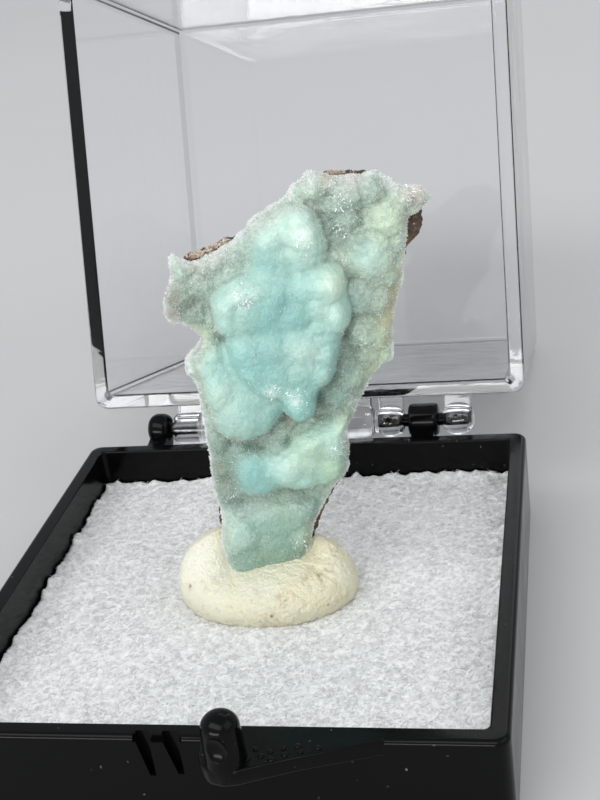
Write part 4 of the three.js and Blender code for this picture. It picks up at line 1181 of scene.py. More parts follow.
# The soft lobes that swell out of them: across, up, radius, swell, and tone from -1 deep to 1 pale. The
# tone is partly painted light, paler on the lit tops.
lobes = [
    # the large lobed mass in the middle
    (1.05, 19.3, 1.15, 0.3, 0.5), (0.2, 18.4, 1.0, 0.34, 0.45), (2.2, 19.4, 1.0, 0.22, 0.3),
    (0.0, 17.3, 0.95, 0.3, 0.4), (6.5, 19.05, 1.25, 0.5, 0.8), (6.85, 16.9, 1.0, 0.42, 0.6),
    (5.0, 18.85, 0.95, 0.22, 0.1), (6.0, 17.7, 0.9, 0.3, 0.4), (3.0, 18.5, 1.1, 0.1, -0.1),
    (2.7, 17.3, 1.0, 0.15, -0.25), (1.4, 17.7, 1.0, 0.2, 0.2), (4.2, 17.3, 1.0, 0.15, -0.2),
    (4.4, 15.2, 1.15, 0.42, 0.5), (2.8, 15.35, 1.05, 0.25, -0.1), (0.93, 15.3, 1.15, 0.3, 0.1),
    (1.2, 13.9, 1.1, 0.25, -0.1), (5.7, 15.9, 0.9, 0.25, 0.0), (6.0, 14.5, 1.0, 0.32, 0.1),
    (5.4, 13.3, 1.0, 0.28, 0.0), (4.2, 13.6, 1.0, 0.3, 0.1), (2.7, 13.6, 1.1, 0.24, -0.2),
    (2.1, 12.45, 0.85, 0.25, 0.3), (3.8, 11.5, 1.15, 0.45, -0.2), (3.0, 12.3, 0.75, 0.2, 0.2),
    (4.9, 12.2, 0.8, 0.2, -0.1),
    # the pale lobes above it
    (5.3, 23.0, 0.9, 0.15, 0.8), (5.2, 21.9, 1.2, 0.4, 1.0), (6.1, 21.2, 0.85, 0.2, 0.4),
    (4.9, 20.6, 1.1, 0.3, 0.3), (3.2, 21.9, 1.1, 0.3, 0.7), (3.2, 20.6, 1.0, 0.2, 0.1),
    # low swellings of the plate, right side
    (9.1, 19.75, 1.55, 0.62, 0.7), (10.4, 21.75, 1.15, 0.5, 0.8), (8.3, 23.4, 0.95, 0.35, 0.3),
    (9.65, 23.55, 0.8, 0.22, 0.3), (7.6, 22.9, 0.7, 0.25, 0.2), (8.1, 22.0, 0.75, 0.28, -0.1),
    (8.5, 21.1, 0.7, 0.2, -0.4), (8.3, 17.2, 1.1, 0.4, 0.1), (9.9, 18.2, 0.8, 0.25, 0.1),
    (8.3, 15.0, 1.0, 0.4, 0.1), (9.3, 16.9, 0.8, 0.3, 0.2), (9.1, 14.5, 0.8, 0.25, 0.1),
    (8.2, 13.4, 0.7, 0.25, -0.1), (7.2, 12.2, 0.95, 0.4, -0.2), (6.2, 11.1, 1.0, 0.45, -0.4),
    (7.0, 10.4, 0.7, 0.3, 0.1), (6.4, 24.4, 0.9, 0.3, 0.6), (7.4, 24.5, 0.6, 0.15, 0.5),
    (11.3, 22.9, 0.7, 0.2, 0.5), (10.8, 20.3, 0.8, 0.25, 0.3),
    # low swellings, left side
    (1.5, 20.7, 0.8, 0.35, 0.2), (-0.1, 20.7, 0.75, 0.25, 0.1), (-1.8, 20.5, 0.7, 0.25, 0.5),
    (-2.1, 18.8, 0.85, 0.3, -0.2), (-0.95, 19.4, 0.75, 0.3, 0.1), (-1.5, 17.7, 0.65, 0.25, 0.0),
    (0.8, 21.4, 0.7, 0.25, 0.3), (1.9, 21.7, 0.6, 0.2, 0.2),
    # the cheek at the lower left
    (-1.25, 15.2, 0.9, 0.1, 0.5), (-1.9, 14.25, 0.7, 0.1, 0.6), (-0.8, 14.0, 0.9, 0.15, 0.2),
    (-0.85, 12.7, 1.25, 0.42, 0.6), (0.3, 11.1, 1.5, 0.65, 0.45), (-1.15, 10.7, 0.9, 0.15, 0.4),
    (1.5, 10.6, 1.1, 0.35, 0.0), (0.7, 12.3, 0.95, 0.35, 0.2),
    # small ridges in the saddle
    (2.55, 9.25, 0.65, 0.45, 0.0), (1.9, 8.6, 0.7, 0.35, -0.2), (3.5, 9.9, 0.5, 0.3, -0.5),
    # the arm that slants down from the right
    (4.1, 8.7, 1.2, 0.4, 0.5), (2.4, 7.1, 1.25, 0.42, 0.6), (5.6, 8.3, 1.1, 0.35, 0.3),
    (4.0, 7.2, 1.1, 0.25, 0.1), (5.1, 6.7, 1.0, 0.3, -0.1), (3.3, 5.9, 0.85, 0.2, 0.1),
    (6.0, 9.4, 0.7, 0.15, 0.3),
    # the blue hollow left of it
    (0.4, 7.0, 1.25, 0.3, -0.2), (0.7, 5.9, 0.95, 0.2, -0.3), (-0.3, 8.0, 0.8, 0.15, -0.35),
    (-1.5, 7.2, 0.7, 0.1, -0.9), (-1.5, 8.9, 0.65, 0.15, -0.5), (-1.3, 5.2, 0.7, 0.15, -0.6),
    # the foot
    (1.6, 3.4, 1.7, 0.2, -0.15), (-1.3, 2.4, 1.4, 0.2, 0.45), (3.0, 3.5, 0.9, 0.12, -0.1),
    (1.0, 1.2, 1.1, 0.1, -0.45), (2.6, 1.5, 0.9, 0.08, -0.5), (-1.0, 0.4, 0.9, 0.0, -0.7),
    (0.1, 3.2, 0.8, 0.05, -0.3),
]

# Where a tint lies on the crust: across, up, radius, strength.
tints = {
    # darker blue in the valleys between the lobes: the stone's deeper colour, partly painted shade
    "deep": [(4.0, 19.2, 0.45, 0.7), (3.8, 18.0, 0.6, 0.9), (3.3, 16.9, 0.8, 0.9), (4.35, 21.6, 0.3, 0.5),
             (3.0, 20.2, 0.7, 0.4), (4.2, 16.7, 0.5, 0.7), (4.3, 12.6, 0.5, 0.5)],
    # a whitish film on the lobe tops, partly painted highlight
    "veilAndHighlight": [(5.4, 22.1, 0.48, 0.75), (5.5, 23.3, 0.5, 0.5), (3.3, 22.6, 0.6, 0.3), (1.5, 19.2, 0.9, 0.4),
             (0.1, 18.5, 0.6, 0.3), (6.6, 19.2, 0.7, 0.45), (6.6, 17.2, 0.5, 0.2), (4.8, 15.1, 0.8, 0.3),
             (-0.9, 12.8, 0.8, 0.15), (2.3, 7.8, 0.8, 0.3), (5.9, 9.3, 0.5, 0.3),
             (0.5, 4.0, 0.8, 0.3), (2.5, 4.1, 0.7, 0.3), (5.4, 20.7, 0.5, 0.5), (-1.3, 2.6, 0.6, 0.3)],
    "blue": [(1.0, 15.0, 1.6, 0.9), (1.6, 13.2, 1.2, 0.8), (3.8, 11.8, 0.9, 0.7), (0.3, 7.1, 1.3, 0.6),
             (0.7, 5.9, 0.9, 0.7), (3.0, 17.6, 1.6, 0.7), (5.0, 18.6, 1.0, 0.6), (3.2, 20.6, 1.3, 0.5),
             (2.4, 7.4, 1.0, 0.4), (0.4, 11.4, 1.0, 0.4)],
    "green": [(10.4, 21.7, 1.2, 0.8), (7.0, 19.0, 0.8, 0.7), (5.2, 6.8, 1.2, 0.8), (4.0, 8.0, 1.8, 0.5),
              (6.2, 9.5, 0.8, 0.7), (9.0, 13.4, 0.9, 1.0), (9.4, 15.0, 1.4, 0.7),
              (10.2, 19.0, 1.0, 0.5), (-1.6, 16.4, 0.8, 0.8), (3.1, 1.8, 1.0, 0.6),
              (8.3, 12.3, 0.9, 0.7), (4.6, 4.9, 0.9, 0.4), (-2.0, 2.6, 0.5, 0.4), (1.8, 3.8, 1.2, 0.3)],
    "ochre": [(10.4, 17.2, 0.6, 0.9), (9.95, 15.5, 0.7, 1.0), (9.6, 14.4, 0.5, 0.7), (10.1, 16.4, 0.6, 1.0),
              (10.9, 18.4, 0.35, 0.7), (11.2, 19.4, 0.3, 0.6), (7.4, 12.0, 0.3, 0.3), (8.6, 12.4, 0.4, 0.3),
              (-1.7, 16.2, 0.4, 0.7), (7.3, 25.0, 0.5, 0.8), (3.2, 0.6, 0.5, 0.4)],
    "olive": [(0.6, 0.6, 1.9, 1.1), (1.6, 3.4, 1.8, 0.8), (-1.5, 7.0, 1.0, 0.6), (-1.6, 9.0, 0.6, 0.4),
              (4.6, 7.0, 1.6, 0.4), (5.8, 5.8, 0.9, 0.5), (2.8, 4.9, 1.2, 0.6), (1.5, 8.9, 0.9, 0.3),
              (-0.5, 11.8, 1.6, 0.3)],
    "brown": [(7.9, 24.9, 0.45, 0.7), (9.0, 24.7, 0.35, 0.5), (12.2, 22.6, 0.6, 0.6),
              (-2.7, 18.9, 0.8, 0.8), (-2.9, 18.0, 0.5, 0.7), (-1.9, 18.4, 0.6, 0.5),
              (-0.3, 9.3, 0.5, 0.25), (-1.9, 7.3, 0.6, 0.5), (-1.7, 5.9, 0.6, 0.4),
              (11.6, 21.7, 0.4, 0.4), (3.1, 10.3, 0.5, 0.6), (3.7, 2.6, 0.4, 0.4), (2.9, 9.8, 0.4, 0.4)],
    "rose": [(12.3, 23.1, 0.8, 0.9), (11.6, 23.4, 0.6, 0.6), (8.6, 24.4, 0.6, 0.6), (7.3, 24.6, 0.5, 0.5),
             (-1.0, 20.6, 0.6, 0.6), (0.2, 20.9, 0.5, 0.5), (-2.9, 17.8, 0.5, 0.5)],
    "frost": [(-2.2, 21.2, 0.35, 0.8), (6.5, 24.8, 0.5, 0.8), (8.4, 24.3, 0.5, 0.4), (12.2, 23.1, 0.4, 0.5),
              (12.8, 22.6, 0.3, 0.6), (10.6, 23.9, 0.5, 0.5), (5.2, 22.0, 0.6, 0.5), (-2.5, 14.2, 0.4, 0.8),
              (2.3, 12.6, 0.4, 0.6), (3.6, 12.1, 0.3, 0.8), (5.9, 8.3, 0.35, 0.4), (0.9, 22.0, 0.4, 0.5)],
}

# Where clear crystals sparkle: across, up, radius, how thick.
sparkles = [
    (1.5, 18.9, 0.8, 0.9), (2.35, 12.95, 0.42, 2.2), (3.75, 12.4, 0.45, 2.0), (3.9, 11.6, 0.4, 0.6),
    (5.8, 8.5, 0.6, 1.0), (5.5, 8.0, 0.5, 1.0), (7.6, 23.6, 1.0, 0.6), (12.0, 22.9, 0.6, 0.9),
    (7.5, 19.9, 0.35, 0.9), (-1.3, 5.2, 0.35, 0.8), (0.0, 4.6, 0.35, 0.5), (5.2, 21.6, 0.7, 0.5),
    (7.6, 21.6, 0.6, 0.8),
    (8.2, 14.4, 0.6, 0.5), (3.7, 14.7, 0.8, 0.25), (3.9, 8.9, 0.5, 0.3), (2.6, 1.4, 0.7, 0.4),
    (-1.0, 19.9, 0.7, 0.4), (9.2, 15.9, 0.4, 0.6), (3.0, 0.2, 0.3, 0.9),
]


# A smooth closed line through the corners
def roundedOutline(corners, steps=5):
    corners = np.array(corners, float)
    line = []
    for i in range(len(corners)):
        a, b, c, d = (corners[(i + k) % len(corners)] for k in (-1, 0, 1, 2))
        out, back = 0.35 * (c - a), 0.35 * (d - b)
        for k in range(steps):
            t = k / steps
            line.append((2 * t**3 - 3 * t**2 + 1) * b + (t**3 - 2 * t**2 + t) * out
                        + (3 * t**2 - 2 * t**3) * c + (t**3 - t**2) * back)
    return np.array(line)


# How far inside a closed line each point lies, and the nearest point on the line
def insetFrom(x, y, line):
    best = np.full(x.shape, 1e9)
    nearX, nearY = np.zeros(x.shape), np.zeros(x.shape)
    inside = np.zeros(x.shape, bool)
    for (ax, ay), (bx, by) in zip(line, np.roll(line, -1, axis=0)):
        ux, uy = bx - ax, by - ay
        t = np.clip(((x - ax) * ux + (y - ay) * uy) / (ux * ux + uy * uy), 0, 1)
        qx, qy = ax + t * ux, ay + t * uy
        d = np.hypot(x - qx, y - qy)
        closer = d < best
        best = np.where(closer, d, best)
        nearX, nearY = np.where(closer, qx, nearX), np.where(closer, qy, nearY)
        if ay != by:
            crosses = ((ay > y) != (by > y)) & (x < ux * (y - ay) / uy + ax)
            inside ^= crosses
    return np.where(inside, best, -best), nearX, nearY


# From the specimen plane to the tray's frame
def toWorld(across, up, out):
    c, s = math.cos(specimen["yaw"]), math.sin(specimen["yaw"])
    px, py = specimen["place"]
    return px + across * c + out * s, py + across * s - out * c, box["rim"] + up


def fromWorld(points):
    c, s = math.cos(specimen["yaw"]), math.sin(specimen["yaw"])
    px, py = specimen["place"]
    x, y = points[:, 0] - px, points[:, 1] - py
    return x * c + y * s, points[:, 2] - box["rim"], x * s - y * c


# A closed slab inside a line, flat at its back, with a face of the given heights
def reliefPiece(name, line, pitch, back, towards, heightAt):
    low, high = line.min(axis=0) - pitch, line.max(axis=0) + pitch
    xs, ys = np.arange(low[0], high[0], pitch), np.arange(low[1], high[1], pitch)
    x, y = np.meshgrid(xs, ys, indexing="ij")
    inset, nearX, nearY = insetFrom(x, y, line)
    kept = inset > 0.3 * pitch
    cells = kept[:-1, :-1] & kept[1:, :-1] & kept[1:, 1:] & kept[:-1, 1:]
    used = np.zeros(kept.shape, int)
    for di, dj in ((0, 0), (1, 0), (1, 1), (0, 1)):
        used[di:used.shape[0] - 1 + di, dj:used.shape[1] - 1 + dj] += cells
    onEdge = (used > 0) & (used < 4)
    x, y = np.where(onEdge, nearX, x), np.where(onEdge, nearY, y)
    inset = np.where(onEdge, 0.0, inset)
    height = heightAt(x, y, np.maximum(inset, 0))
    chosen = used > 0
    number = np.full(kept.shape, -1)
    number[chosen] = np.arange(chosen.sum())
    px, py, ph = x[chosen], y[chosen], height[chosen]
    faceSide = np.stack(toWorld(px, py, back + towards * ph), axis=1)
    backSide = np.stack(toWorld(px, py, np.full(px.shape, back)), axis=1)
    count = len(px)
    i, j = np.nonzero(cells)
    a, b, c, d = number[i, j], number[i + 1, j], number[i + 1, j + 1], number[i, j + 1]
    front = np.stack((a, b, c, d), axis=1)
    rear = front[:, ::-1] + count
    edges = {}
    for quad in front.tolist():
        for k in range(4):
            edges[(quad[k], quad[(k + 1) % 4])] = True
    walls = [(q, p, p + count, q + count) for p, q in edges if (q, p) not in edges]
    points = np.concatenate((faceSide, backSide)).tolist()
    faces = front.tolist() + rear.tolist() + walls
    return faceOutwards(meshObject(name, points, faces)), (xs, ys, inset, height)


def remesh(piece, voxel):
    tool = piece.modifiers.new("remesh", "REMESH")
    tool.mode = "VOXEL"
    tool.voxel_size = voxel * mm
    tool.use_smooth_shade = True
    return applyModifiers(piece)


# How far each point is from an open line
def lineDistance(points, line):
    best = np.full(len(points), 1e9)
    for a, b in zip(line, line[1:]):
        a, b = np.array(a), np.array(b)
        t = np.clip(((points - a) @ (b - a)) / ((b - a) @ (b - a)), 0, 1)
        best = np.minimum(best, np.linalg.norm(points - a - t[:, None] * (b - a), axis=1))
    return best


# How far the soft lobes stand out
def swellField(x, y):
    swell = np.zeros(x.shape)
    for cx, cy, radius, rise, _ in lobes:
        wobble = 1.15 + 0.25 * (softNoise(x + cx, y - cy, 0.6, 11) - 0.5)
        d = np.hypot(x - cx, y - cy) / (radius * wobble)
        cap = (rise + 0.12) * np.maximum(1 - d * d, 0) ** 0.7
        swell = np.where(d < 1, softMax(swell, cap, 0.1), swell)
    return swell


# A quarter round from 0 at an edge to 1 at its width
def quarterRound(inset, width):
    return np.sqrt(1 - (1 - np.clip(inset / width, 0, 1)) ** 2)


# Height of the lobed face above the crust's back, without the thin edge
def lobeHeight(x, y):
    uneven = softNoise(x, y, 0.5, 31) - 0.5
    body = specimen["plate"] * (0.82 + 0.2 * uneven)
    for mass in masses:
        inset = insetFrom(x, y, roundedOutline(mass["line"], 3))[0]
        rise = massFoot + (mass["top"] - massFoot) * quarterRound(inset, mass["edge"])
        body = np.where(inset > 0, softMax(body, rise, 0.16), body)
    height = body + swellField(x, y) * (1 + 0.4 * (1 - smoothStep(body, 1.1, 1.6)))
    reach = int(0.5 / specimen["pitch"])
    flowing = boxBlur(boxBlur(height, reach), reach)
    height = height + (flowing - height) * spotField(x, y, gentle)
    flat = np.stack((x.ravel(), y.ravel()), axis=1)
    for furrow in furrows:
        away = lineDistance(flat, furrow["line"]).reshape(x.shape)
        height = height - furrow["depth"] * np.exp(-(away / furrow["width"]) ** 2)
    return height


def crustHeight(x, y, inset):
    rise = lobeHeight(x, y) - specimen["rim"]
    return specimen["rim"] + rise * quarterRound(inset, specimen["rimWidth"])


# Mean over a square window, by running sums
def boxBlur(field, reach):
    out = field
    for axis in (0, 1):
        padded = np.pad(out, [(reach + 1, reach) if k == axis else (0, 0) for k in (0, 1)], mode="edge")
        sums = np.cumsum(padded, axis=axis)
        n = out.shape[axis]
        high = np.take(sums, np.arange(n) + 2 * reach + 1, axis=axis)
        low = np.take(sums, np.arange(n), axis=axis)
        out = (high - low) / (2 * reach + 1)
    return out


def sampleGrid(xs, ys, field, x, y):
    u = np.clip((x - xs[0]) / (xs[1] - xs[0]), 0, len(xs) - 1.001)
    v = np.clip((y - ys[0]) / (ys[1] - ys[0]), 0, len(ys) - 1.001)
    i, j = u.astype(int), v.astype(int)
    fu, fv = u - i, v - j
    low = field[i, j] * (1 - fu) + field[i + 1, j] * fu
    high = field[i, j + 1] * (1 - fu) + field[i + 1, j + 1] * fu
    return low * (1 - fv) + high * fv


def spotField(x, y, spots):
    total = np.zeros(x.shape)
    for cx, cy, radius, strength in spots:
        d = ((x - cx) ** 2 + (y - cy) ** 2) / (radius * radius)
        total = np.maximum(total, strength * np.exp(-d * 1.1))
    return total


# Each lobe's tone spread over the crust. It is partly the stone's own colour and partly painted light,
# paler on the lit lobe tops
def toneField(x, y):
    weights, total = np.full(x.shape, 0.05), np.zeros(x.shape)
    for cx, cy, radius, _, tone in lobes:
        w = np.exp(-1.2 * ((x - cx) ** 2 + (y - cy) ** 2) / (radius * radius))
        weights += w
        total += w * tone
    return total / weights


# Writes the crust's colour zones as attributes. They include painted shade in the creases, and a pale tone
# that is partly painted light on the lobe tops
def paintCrust(crust, grid):
    xs, ys, inset, height = grid
    x, y, out = fromWorld(pointsOf(crust))
    face = smoothStep(out, 0.35, 0.6)
    reach = int(0.38 / specimen["pitch"])
    # how far each point lies below its blurred surroundings, used for painted shade in the creases
    hollow = boxBlur(boxBlur(height, reach), reach // 2) - height
    crease = sampleGrid(xs, ys, hollow, x, y)
    body = sampleGrid(xs, ys, boxBlur(height, 6), x, y)
    inside = sampleGrid(xs, ys, inset, x, y)
    rough = softNoise(x, y, 0.35, 41)
    fields = {
        "pale": toneField(x, y),
        # painted shade: marks the creases and hollows that the shader colours dark
        "crease": smoothStep(crease, 0.03, 0.42) * face,
        "plate": (1 - smoothStep(body, 1.15, 1.9)) * (0.7 + 0.3 * smoothStep(y, 3.4, 5.2)),
    }
    fields["coarse"] = 0.5 + 0.5 * fields["plate"]
    for name, spots in tints.items():
        fields[name] = spotField(x, y, spots)
    upper = 0.5 + 0.5 * smoothStep(y, 12, 20)
    fields["rim"] = np.exp(-np.maximum(inside, 0) / 0.1) * (out > 0.2) * upper
    rimFrost = np.exp(-np.maximum(inside, 0) / (0.09 + 0.09 * upper)) * (0.5 + 0.5 * rough)
    fields["frost"] = np.maximum(fields["frost"] * (0.4 + 0.6 * rough), rimFrost)
    for name, values in fields.items():
        setAttribute(crust, name, values)


def buildCrust():
    line = roundedOutline(crustEdge)
    crust, grid = reliefPiece("hemimorphite_surface", line, specimen["pitch"], 0.0, 1, crustHeight)
    remesh(crust, specimen["voxel"])
    paintCrust(crust, grid)
    runTree(crust, roughen, {"Lump Size": 0.8, "Lump Height": 0.3, "Cell Size": 0.3, "Cell Height": 0.1})
    return give(crust, hemimorphite)


def matrixHeight(x, y, inset):
    rim, width = specimen["matrixRim"], specimen["matrixRimWidth"]
    rough = 0.7 * (softNoise(x, y, 1.1, 51) - 0.5) + 0.3 * (softNoise(x, y, 0.4, 52) - 0.5)
    return rim + (specimen["matrixThickness"] - rim + rough) * quarterRound(inset, width)


def buildMatrix():
    line = roundedOutline(matrixEdge)
    matrix = reliefPiece("limonite_surface", line, specimen["matrixPitch"], specimen["matrixFront"], -1,
                         matrixHeight)[0]
    remesh(matrix, specimen["matrixVoxel"])
    runTree(matrix, roughen, {"Lump Size": 0.8, "Lump Height": 0.5, "Cell Size": 0.38, "Cell Height": 0.22})
    return give(matrix, limonite)


# A four-sided blade with a wedge end, one millimetre long
def bladePiece(name, wide, thin, shoulder):
    corners = [(wide, 0), (0, thin), (-wide, 0), (0, -thin)]
    points = [(x, y, z) for z in (-0.15, shoulder) for x, y in corners] + [(0.03, 0, 1.0)]
    faces = [(3, 2, 1, 0)]
    for i in range(4):
        j = (i + 1) % 4
        faces += [(i, j, 4 + j, 4 + i), (4 + i, 4 + j, 8)]
    return faceOutwards(meshObject(name, points, faces))


# Sows copies of a small piece over the crust, as thick as grow says
def sow(crust, name, grow, piece, material, values):
    setAttribute(crust, "grow", grow)
    made = runTree(crust, scatter, {"Piece": piece, "Material": material, **values}, name)
    bpy.data.objects.remove(piece)
    return made


# Sugary grains on the plate and its edge, and clear blades that lie where the crust sparkles
def buildCrystals(crust):
    x, y, out = fromWorld(pointsOf(crust))
    front = smoothStep(out, 0.3, 0.5)
    rim, plate = readAttribute(crust, "rim"), readAttribute(crust, "plate")
    grains = sow(crust, "crystal_grains", front * (0.08 + 0.7 * plate),
                 bladePiece("grain", 0.42, 0.3, 0.3), plateSugar,
                 {"Count": 22.0, "Smallest": 0.04, "Largest": 0.11, "Lean": 0.35, "Seed": 5})
    edge = sow(crust, "edge_grains", rim, bladePiece("grain", 0.42, 0.32, 0.35), edgeSugar,
               {"Count": 60.0, "Smallest": 0.045, "Largest": 0.11, "Lean": 0.5, "Seed": 8})
    thick = spotField(x, y, sparkles) * front
    blades = sow(crust, "crystal_blades", np.clip(thick - 0.12, 0, 2),
                 bladePiece("blade", 0.14, 0.05, 0.85), clearCrystal,
                 {"Count": 75.0, "Smallest": 0.08, "Largest": 0.23, "Lean": 1.8, "Seed": 12})
    return grains, edge, blades


# Pale crumbs on the matrix where it looks out past the crust
def buildCrumbs(matrix):
    x, y, out = fromWorld(pointsOf(matrix))
    inset = insetFrom(x, y, roundedOutline(crustEdge))[0]
    bare = smoothStep(-inset, -0.15, 0.1) * smoothStep(y, 14, 17) * smoothStep(out, -1.6, -0.6)
    bare *= 1 - smoothStep(x, 10.8, 11.4)
    bare *= 1 + 0.8 * smoothStep(y, 23.0, 24.0)
    return sow(matrix, "matrix_crumbs", bare, bladePiece("crumb", 0.45, 0.36, 0.35), matrixSugar,
               {"Count": 46.0, "Smallest": 0.05, "Largest": 0.21, "Lean": 0.9, "Seed": 31})


crust = buildCrust()
grains, edgeGrains, blades = buildCrystals(crust)
matrix = buildMatrix()
crumbs = buildCrumbs(matrix)
specimenPieces = (crust, grains, edgeGrains, blades, matrix, crumbs)
print("specimen built", [len(piece.data.polygons) for piece in specimenPieces])

putty = {
    "centre": (0.4, 0.3),
    "wide": 6.05,
    "deep": 3.85,
    "base": foam["top"],
    "widest": 0.85,  # height of the bulge above the foam
    "tuck": 0.5,  # how far the side draws in below it
    "lip": 2.5,  # height in front of the stone
    "left": 5.05,
    "right": 4.15,
    "around": 330,
    "lowRows": 14,
    "highRows": 84,
}


# How far the lump reaches from its centre in each direction, at its widest
def puttyReach(a):
    plain = 1 / np.sqrt((np.cos(a) / putty["wide"]) ** 2 + (np.sin(a) / putty["deep"]) ** 2)
    lump = 1 + 0.02 * np.sin(2 * a + 0.6) + 0.02 * np.sin(3 * a - 0.9) + 0.01 * np.sin(5 * a)
    left = np.exp(-(np.angle(np.exp(1j * (a - math.radians(195)))) / 0.6) ** 2)
    return plain * (lump - 0.045 * left)


# Height of the lump above the foam: low in front of the stone, high at its sides and behind it
def puttyCrest(x, y):
    across, _, out = fromWorld(np.stack((x, y, np.zeros(x.shape)), axis=-1).reshape(-1, 3))
    across, out = across.reshape(x.shape), out.reshape(x.shape)
    side = putty["left"] + (putty["right"] - putty["left"]) * smoothStep(across, -2.5, 3.0)
    atLeft, atRight = smoothStep(-across, 2.3, 3.8), smoothStep(across, 2.8, 4.8)
    edges = 0.45 * np.exp(-((across + 2.1) / 0.5) ** 2) + 0.5 * np.exp(-((across - 3.0) / 0.6) ** 2)
    near = 1.35 + 0.35 * atLeft + 1.2 * atRight - edges
    back = 1 - smoothStep(out, near - 1.6 - 0.3 * atLeft - 0.8 * atRight, near)
    lip = putty["lip"] + 0.9 * smoothStep(-across, 2.0, 4.6)
    lip += 0.35 * smoothStep(across, -1.0, 3.2) + 0.7 * smoothStep(across, 2.8, 4.6)
    return lip + (side - lip) * back


def buildPutty():
    around = putty["around"]
    a = np.linspace(0, 2 * math.pi, around, endpoint=False)
    reach = puttyReach(a)
    cx, cy = putty["centre"]
    rings = []
    for k in range(putty["lowRows"]):
        bow = math.radians(-78 * (1 - k / putty["lowRows"]))
        out = reach - putty["tuck"] * (1 - math.cos(bow))
        rise = np.full(around, putty["widest"] + 0.98 * math.sin(bow))
        rings.append((cx + out * np.cos(a), cy + out * np.sin(a), putty["base"] + rise))
    for k in range(putty["highRows"]):
        share = math.cos(math.pi / 2 * k / putty["highRows"])
        x, y = cx + reach * share * np.cos(a), cy + reach * share * np.sin(a)
        bulge = math.sqrt(1 - share ** 3.1)
        rise = putty["widest"] + (puttyCrest(x, y) - putty["widest"]) * bulge
        rings.append((x, y, putty["base"] + rise))
    x, y, z = (np.array([ring[k] for ring in rings]) for k in range(3))
    rows, count = len(rings), x.size
    points = np.stack((x.ravel(), y.ravel(), z.ravel()), axis=1).tolist()
    faces = []
    for k in range(rows - 1):
        faces += band(k * around, (k + 1) * around, around)
    points.append((cx, cy, float(z[0].mean())))
    points.append((cx, cy, float(z[-1].mean())))
    for i in range(around):
        j = (i + 1) % around
        faces.append((count, j, i))
        faces.append((count + 1, (rows - 1) * around + i, (rows - 1) * around + j))
    lump = faceOutwards(meshObject("putty_lump", points, faces))
    lump.data.shade_smooth()
    dentPutty(lump)
    points = pointsOf(lump)
    torn = np.maximum(smoothStep(points[:, 0], -2.0, 3.5), 0.7 - 0.7 * smoothStep(points[:, 2], 4.4, 5.6))
    setAttribute(lump, "coarse", 0.35 + 0.65 * torn)
    runTree(lump, roughen, {"Lump Size": 0.6, "Lump Height": 0.26, "Cell Size": 0.26, "Cell Height": 0.11})
    paintPutty(lump)
    return give(lump, creamPutty)


# Thumb marks: their middle in the tray's frame, the patch's size, the centre of the ridges' arcs,
# and the spacing and depth of the ridges.
prints = [
    {"at": (4.6, -2.4, 5.6), "patch": 2.2, "arcs": (2.6, -3.2, 4.6), "pitch": 0.25, "depth": 0.017},
    {"at": (-4.6, -1.6, 6.2), "patch": 2.0, "arcs": (-1.8, -2.6, 7.4), "pitch": 0.25, "depth": 0.014},
    {"at": (0.8, -3.4, 5.8), "patch": 1.8, "arcs": (0.8, -3.4, 3.0), "pitch": 0.27, "depth": 0.008},
    {"at": (0.5, 3.6, 6.2), "patch": 3.0, "arcs": (-2.0, 3.6, 3.6), "pitch": 0.29, "depth": 0.022},
]
# Creases: a line of points in the tray's frame, its width and depth.
creases = [
    {"width": 0.12, "depth": 0.18, "line": [
        (3.5, -1.45, 6.45), (3.8, -0.85, 6.6), (4.1, -0.75, 6.6), (4.7, -1.05, 6.5), (5.2, -1.15, 6.3)]},
    {"width": 0.13, "depth": 0.2, "line": [
        (3.6, -0.3, 6.7), (4.25, -0.6, 6.65), (5.0, -0.7, 6.6), (5.5, -0.5, 6.5)]},
    {"width": 0.1, "depth": 0.1, "line": [(4.1, -0.75, 6.6), (4.4, -1.3, 6.4), (4.9, -1.7, 6.0)]},
]


def dentPutty(lump):
    points, normals = pointsOf(lump), normalsOf(lump)
    move = np.zeros(len(points))
    for mark in prints:
        near = np.exp(-(np.linalg.norm(points - np.array(mark["at"]), axis=1) / mark["patch"]) ** 4)
        ring = np.linalg.norm(points - np.array(mark["arcs"]), axis=1)
        wobble = 0.12 * softNoise(points[:, 0] + points[:, 2], points[:, 1], 0.9, 61)
        move += near * mark["depth"] * np.sin(2 * math.pi * (ring + wobble) / mark["pitch"])
    for crease in creases:
        move -= crease["depth"] * np.exp(-(lineDistance(points, crease["line"]) / crease["width"]) ** 2)
    moved = (points + normals * move[:, None]) * mm
    lump.data.vertices.foreach_set("co", moved.ravel())
    lump.data.update()


# Marks on the putty: kind, place in the tray's frame, radius, strength. The first kind is painted light,
# where the light falls on the lump; tan and dirt are stains.
puttyMarks = [
    ("paintedLight", (-4.0, -1.0, 7.4), 2.6, 1.0), ("paintedLight", (0.5, -2.8, 7.2), 2.0, 0.8),
    ("paintedLight", (-2.6, -2.6, 5.8), 1.8, 0.6),
    ("tan", (0.9, -3.5, 5.1), 0.6, 0.5), ("tan", (1.5, -3.5, 5.0), 0.35, 0.5),
    ("tan", (-2.6, -2.2, 6.3), 0.6, 0.35), ("tan", (2.2, -2.8, 6.0), 0.7, 0.45),
    ("tan", (0.4, -2.7, 6.1), 0.6, 0.25), ("tan", (4.2, -0.9, 6.6), 0.7, 0.3),
    ("tan", (-4.2, -1.5, 6.0), 0.3, 0.4),
    ("dirt", (1.5, -3.5, 5.0), 0.1, 1.0), ("dirt", (-4.2, -1.5, 6.0), 0.1, 1.0),
    ("dirt", (-4.25, -1.4, 5.95), 0.08, 1.0),
    ("dirt", (2.4, -2.9, 5.8), 0.07, 0.8), ("dirt", (4.6, -2.0, 5.9), 0.07, 0.8),
    ("dirt", (4.9, -2.1, 4.9), 0.09, 0.8), ("dirt", (0.2, -3.0, 5.9), 0.06, 0.6),
]


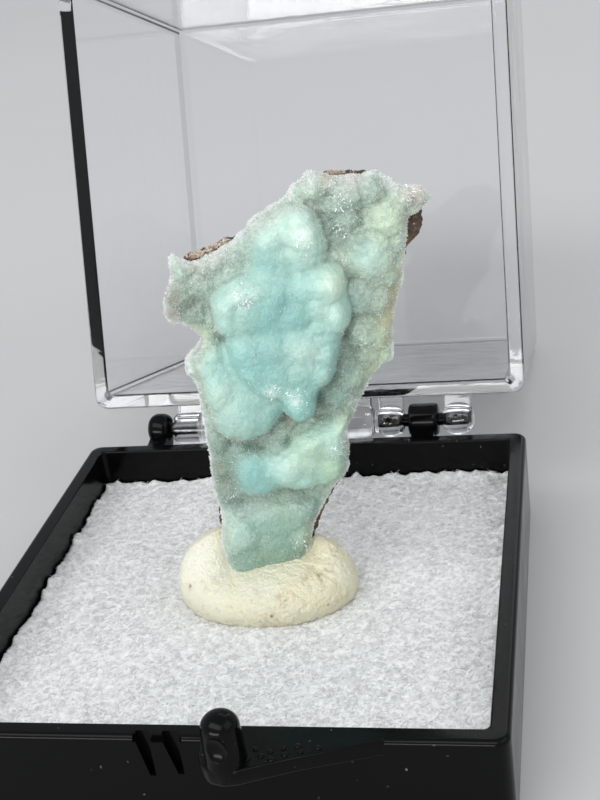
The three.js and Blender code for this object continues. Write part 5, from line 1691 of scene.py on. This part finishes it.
def paintPutty(lump):
    points = pointsOf(lump)
    fields = {name: np.zeros(len(points)) for name in ("paintedLight", "tan", "dirt")}
    for kind, place, radius, strength in puttyMarks:
        d = np.linalg.norm(points - np.array(place), axis=1) / radius
        fields[kind] = np.maximum(fields[kind], strength * np.exp(-d * d))
    for crease in creases:
        # a thin dark line along each crease, kept with the dirt marks
        creaseLine = 0.7 * np.exp(-(lineDistance(points, crease["line"]) / 0.09) ** 2)
        fields["dirt"] = np.maximum(fields["dirt"], creaseLine)
    for name, values in fields.items():
        setAttribute(lump, name, values)


puttyLump = buildPutty()
print("putty built", len(puttyLump.data.polygons))

for piece, body, slot, nodes in (
    (tray, "tray_body", "black_plastic", ["tray"]),
    (ledgeMarks, "tray_body", "black_plastic", []),
    (foamPad, "tray_body", "white_foam", ["foam_pad"]),
    *((strands, "tray_body", "white_foam", []) for strands in foamStrands),
    (puttyLump, "tray_body", "cream_putty", ["putty"]),
    (crust, "tray_body", "hemimorphite", ["hemimorphite_crust"]),
    (grains, "tray_body", "hemimorphite", []),
    (edgeGrains, "tray_body", "hemimorphite", []),
    (blades, "tray_body", "hemimorphite", []),
    (crumbs, "tray_body", "brown_matrix", []),
    (matrix, "tray_body", "brown_matrix", ["limonite_matrix"]),
    (lidShell, "lid_body", "clear_plastic", ["lid"]),
):
    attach(piece, body)
    if nodes:
        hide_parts(*nodes)
print("pieces ride on their bodies")

studio = {
    "floorHalf": 2.5,
    "world": (0.93, 0.96, 1.0),
    "worldStrength": 0.58,
    "lights": [
        # name, place, target, width and height in metres, watts
        ("key", (-0.16, -0.38, 0.56), (0, 0, 0.015), (0.9, 0.32), 2.7),
        ("front", (-0.2, -0.62, 0.09), (0, 0, 0.02), (0.6, 0.12), 2.2),
        ("fill", (0.5, -0.1, 0.42), (0, 0, 0.015), (0.5, 0.4), 0.6),
        ("back", (0.1, 0.6, 0.5), (0, 0, 0.015), (0.5, 0.5), 0.9),
    ],
}


def setStudio():
    half = studio["floorHalf"]
    floor = meshObject("floor", [(-half, -half, 0), (half, -half, 0), (half, half, 0), (-half, half, 0)],
                       [(0, 1, 2, 3)], 1.0)
    give(floor, newMaterial("paleFloor", floorInputs))
    for name, place, target, size, watts in studio["lights"]:
        data = bpy.data.lights.new(name, "AREA")
        data.shape = "RECTANGLE"
        data.size, data.size_y = size
        data.energy = watts
        addObject(name, data).matrix_world = aimed(place, target)
    world = bpy.data.worlds.new("studio")
    bpy.context.scene.world = world
    world.use_nodes = True
    sky = world.node_tree.nodes["Background"]
    sky.inputs["Color"].default_value = (*studio["world"], 1)
    sky.inputs["Strength"].default_value = studio["worldStrength"]
    bpy.context.scene.view_settings.view_transform = "Standard"


setStudio()
print("studio set")
